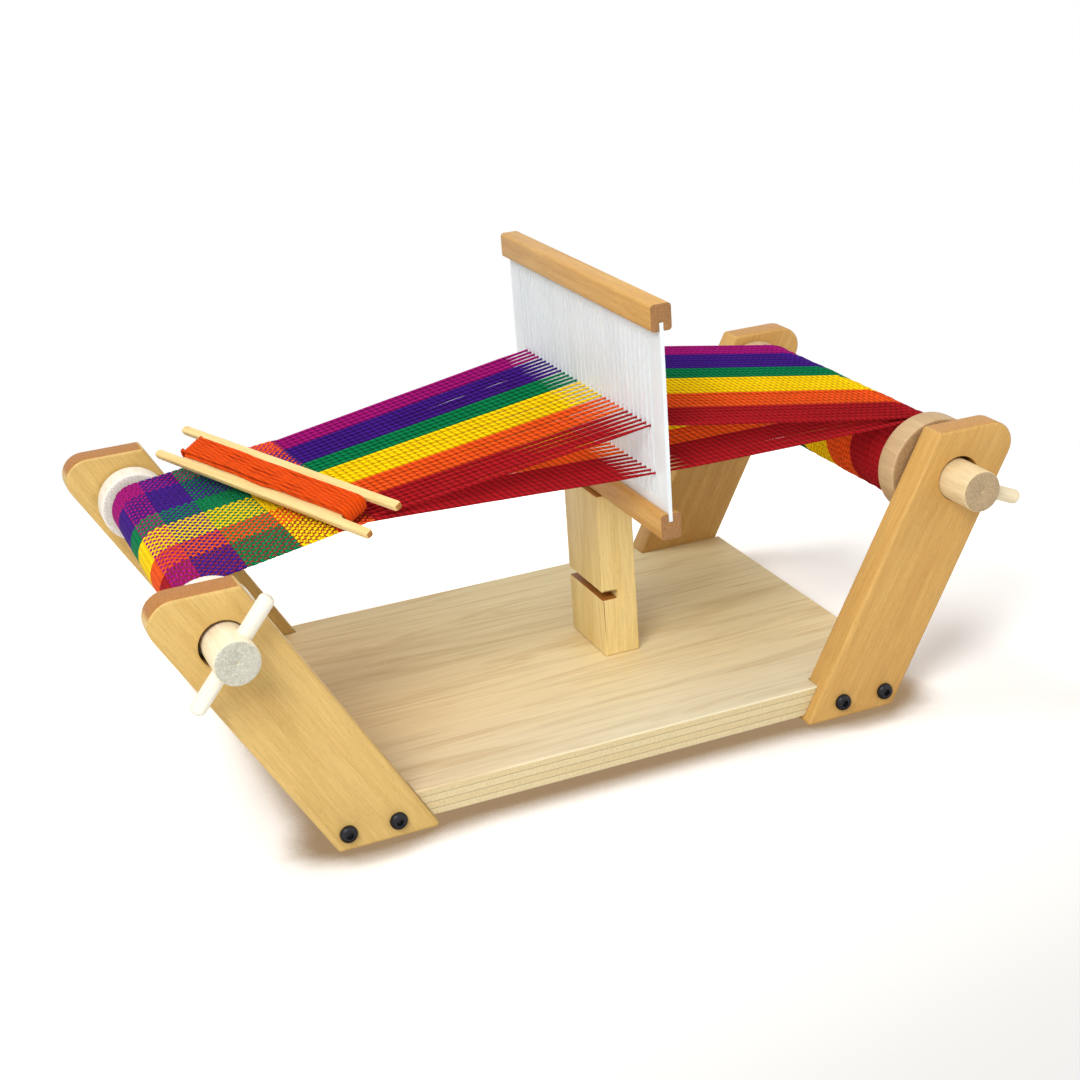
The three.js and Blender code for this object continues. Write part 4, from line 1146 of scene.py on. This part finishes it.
# floor, light and backdrop
lamps = {
    "key": {"place": (-0.95, -1.05, 1.35), "size": 0.8, "power": 25.0},
    "fill": {"place": (1.2, -1.2, 0.9), "size": 1.4, "power": 6.0},
    "top": {"place": (-0.25, 0.5, 1.7), "size": 0.6, "power": 8.0},
}
# the last four values give the reach, lean, tone and fade of the floor's painted shadow
light = {
    "aim": (0, 0, 0.08), "world": 0.5, "floor": 0.8, "floorSize": 6, "floorDrop": 0.0004,
    "gain": (1.27, 1.25, 1.21), "slope": 1.05, "white": (0.38, 0.62), "shadowReach": 0.034,
    "shadowLean": (-0.8, 0.52, 0.3), "shadowTone": (0.36, 0.24, 0.135), "unshadowed": (0.64, 0.95),
}


# one where the camera sees a thing itself, in a reflection or through something
def seenShare(tree):
    rays = addNode(tree, "LightPath").outputs
    mirrored = addMath(tree, "MAXIMUM", rays["Is Glossy Ray"], rays["Is Transmission Ray"])
    return addMath(tree, "MAXIMUM", rays["Is Camera Ray"], mirrored)


def mixShaders(tree, share, first, second):
    return addNode(tree, "MixShader", {0: share, 1: first, 2: second}).outputs[0]


def addGlow(tree, colour):
    return addNode(tree, "Emission", {"Color": (*colour, 1), "Strength": 1.0}).outputs[0]


# Floor: plain and pale for the light it sends back. Seen by the camera it is just bright enough to
# be white where nothing shades it, and carries a painted shadow, brownish and darker, close to a
# piece on its upper left, where the photo's light comes from. It is plain white far out, and its
# brightness grows with y.
def makeFloor(values):
    size, z = values["floorSize"], -values["floorDrop"]
    mesh = bpy.data.meshes.new("floor")
    corners = [(-size, -size, z), (size, -size, z), (size, size, z), (-size, size, z)]
    mesh.from_pydata(corners, [], [(0, 1, 2, 3)])
    floor = addObject("floor", mesh)
    finish, tree, shader = newFinish("paleFloor", {
        "Roughness": 0.9, "Base Color": (values["floor"],) * 3 + (1,), "Specular IOR Level": 0.0})
    places = addPlaces(tree)["Object"]
    level = addMath(tree, "MULTIPLY_ADD", splitVector(tree, places)[1], values["slope"], 1.0)
    # painted shadow: occlusion leaned to the upper left turns the floor near a piece into a fixed
    # brown glow
    nearby = addNode(tree, "AmbientOcclusion",
                     {"Distance": values["shadowReach"], "Normal": values["shadowLean"]}, samples=8)
    unshadowed = addRange(tree, nearby.outputs["AO"], *values["unshadowed"], kind="SMOOTHSTEP")
    seenTone = multiply(tree, values["gain"], level)
    bright = addNode(tree, "BsdfDiffuse", {"Color": seenTone}).outputs[0]
    ground = mixShaders(tree, unshadowed, addGlow(tree, values["shadowTone"]), bright)
    away = addNode(tree, "VectorMath", {0: places}, operation="LENGTH").outputs["Value"]
    far = addRange(tree, away, *values["white"], kind="SMOOTHSTEP")
    shown = mixShaders(tree, far, ground, addGlow(tree, (1, 1, 1)))
    both = mixShaders(tree, seenShare(tree), shader.outputs[0], shown)
    tree.links.new(both, tree.nodes["Material Output"].inputs["Surface"])
    mesh.materials.append(finish)


def makeLight(values):
    world = bpy.data.worlds.new("studio")
    bpy.context.scene.world = world
    world.use_nodes = True
    tree = world.node_tree
    backdrop = tree.nodes["Background"]
    backdrop.inputs["Color"].default_value = (1, 1, 1, 1)
    strength = addRange(tree, seenShare(tree), 0.0, 1.0, values["world"], 1.0)
    tree.links.new(strength, backdrop.inputs["Strength"])
    for name, lamp in lamps.items():
        data = bpy.data.lights.new(name, "AREA")
        data.size, data.energy = lamp["size"], lamp["power"]
        made = addObject(name, data)
        back = unit(np.array(lamp["place"]) - np.array(values["aim"]))
        right = unit(np.cross((0, 0, 1), back))
        axes = np.eye(4)
        axes[:3] = np.stack([right, np.cross(back, right), back, lamp["place"]], 1)
        made.matrix_world = Matrix(axes.tolist())


makeFloor(light)
makeLight(light)
bpy.context.scene.view_settings.view_transform = "Standard"
print("stage set")
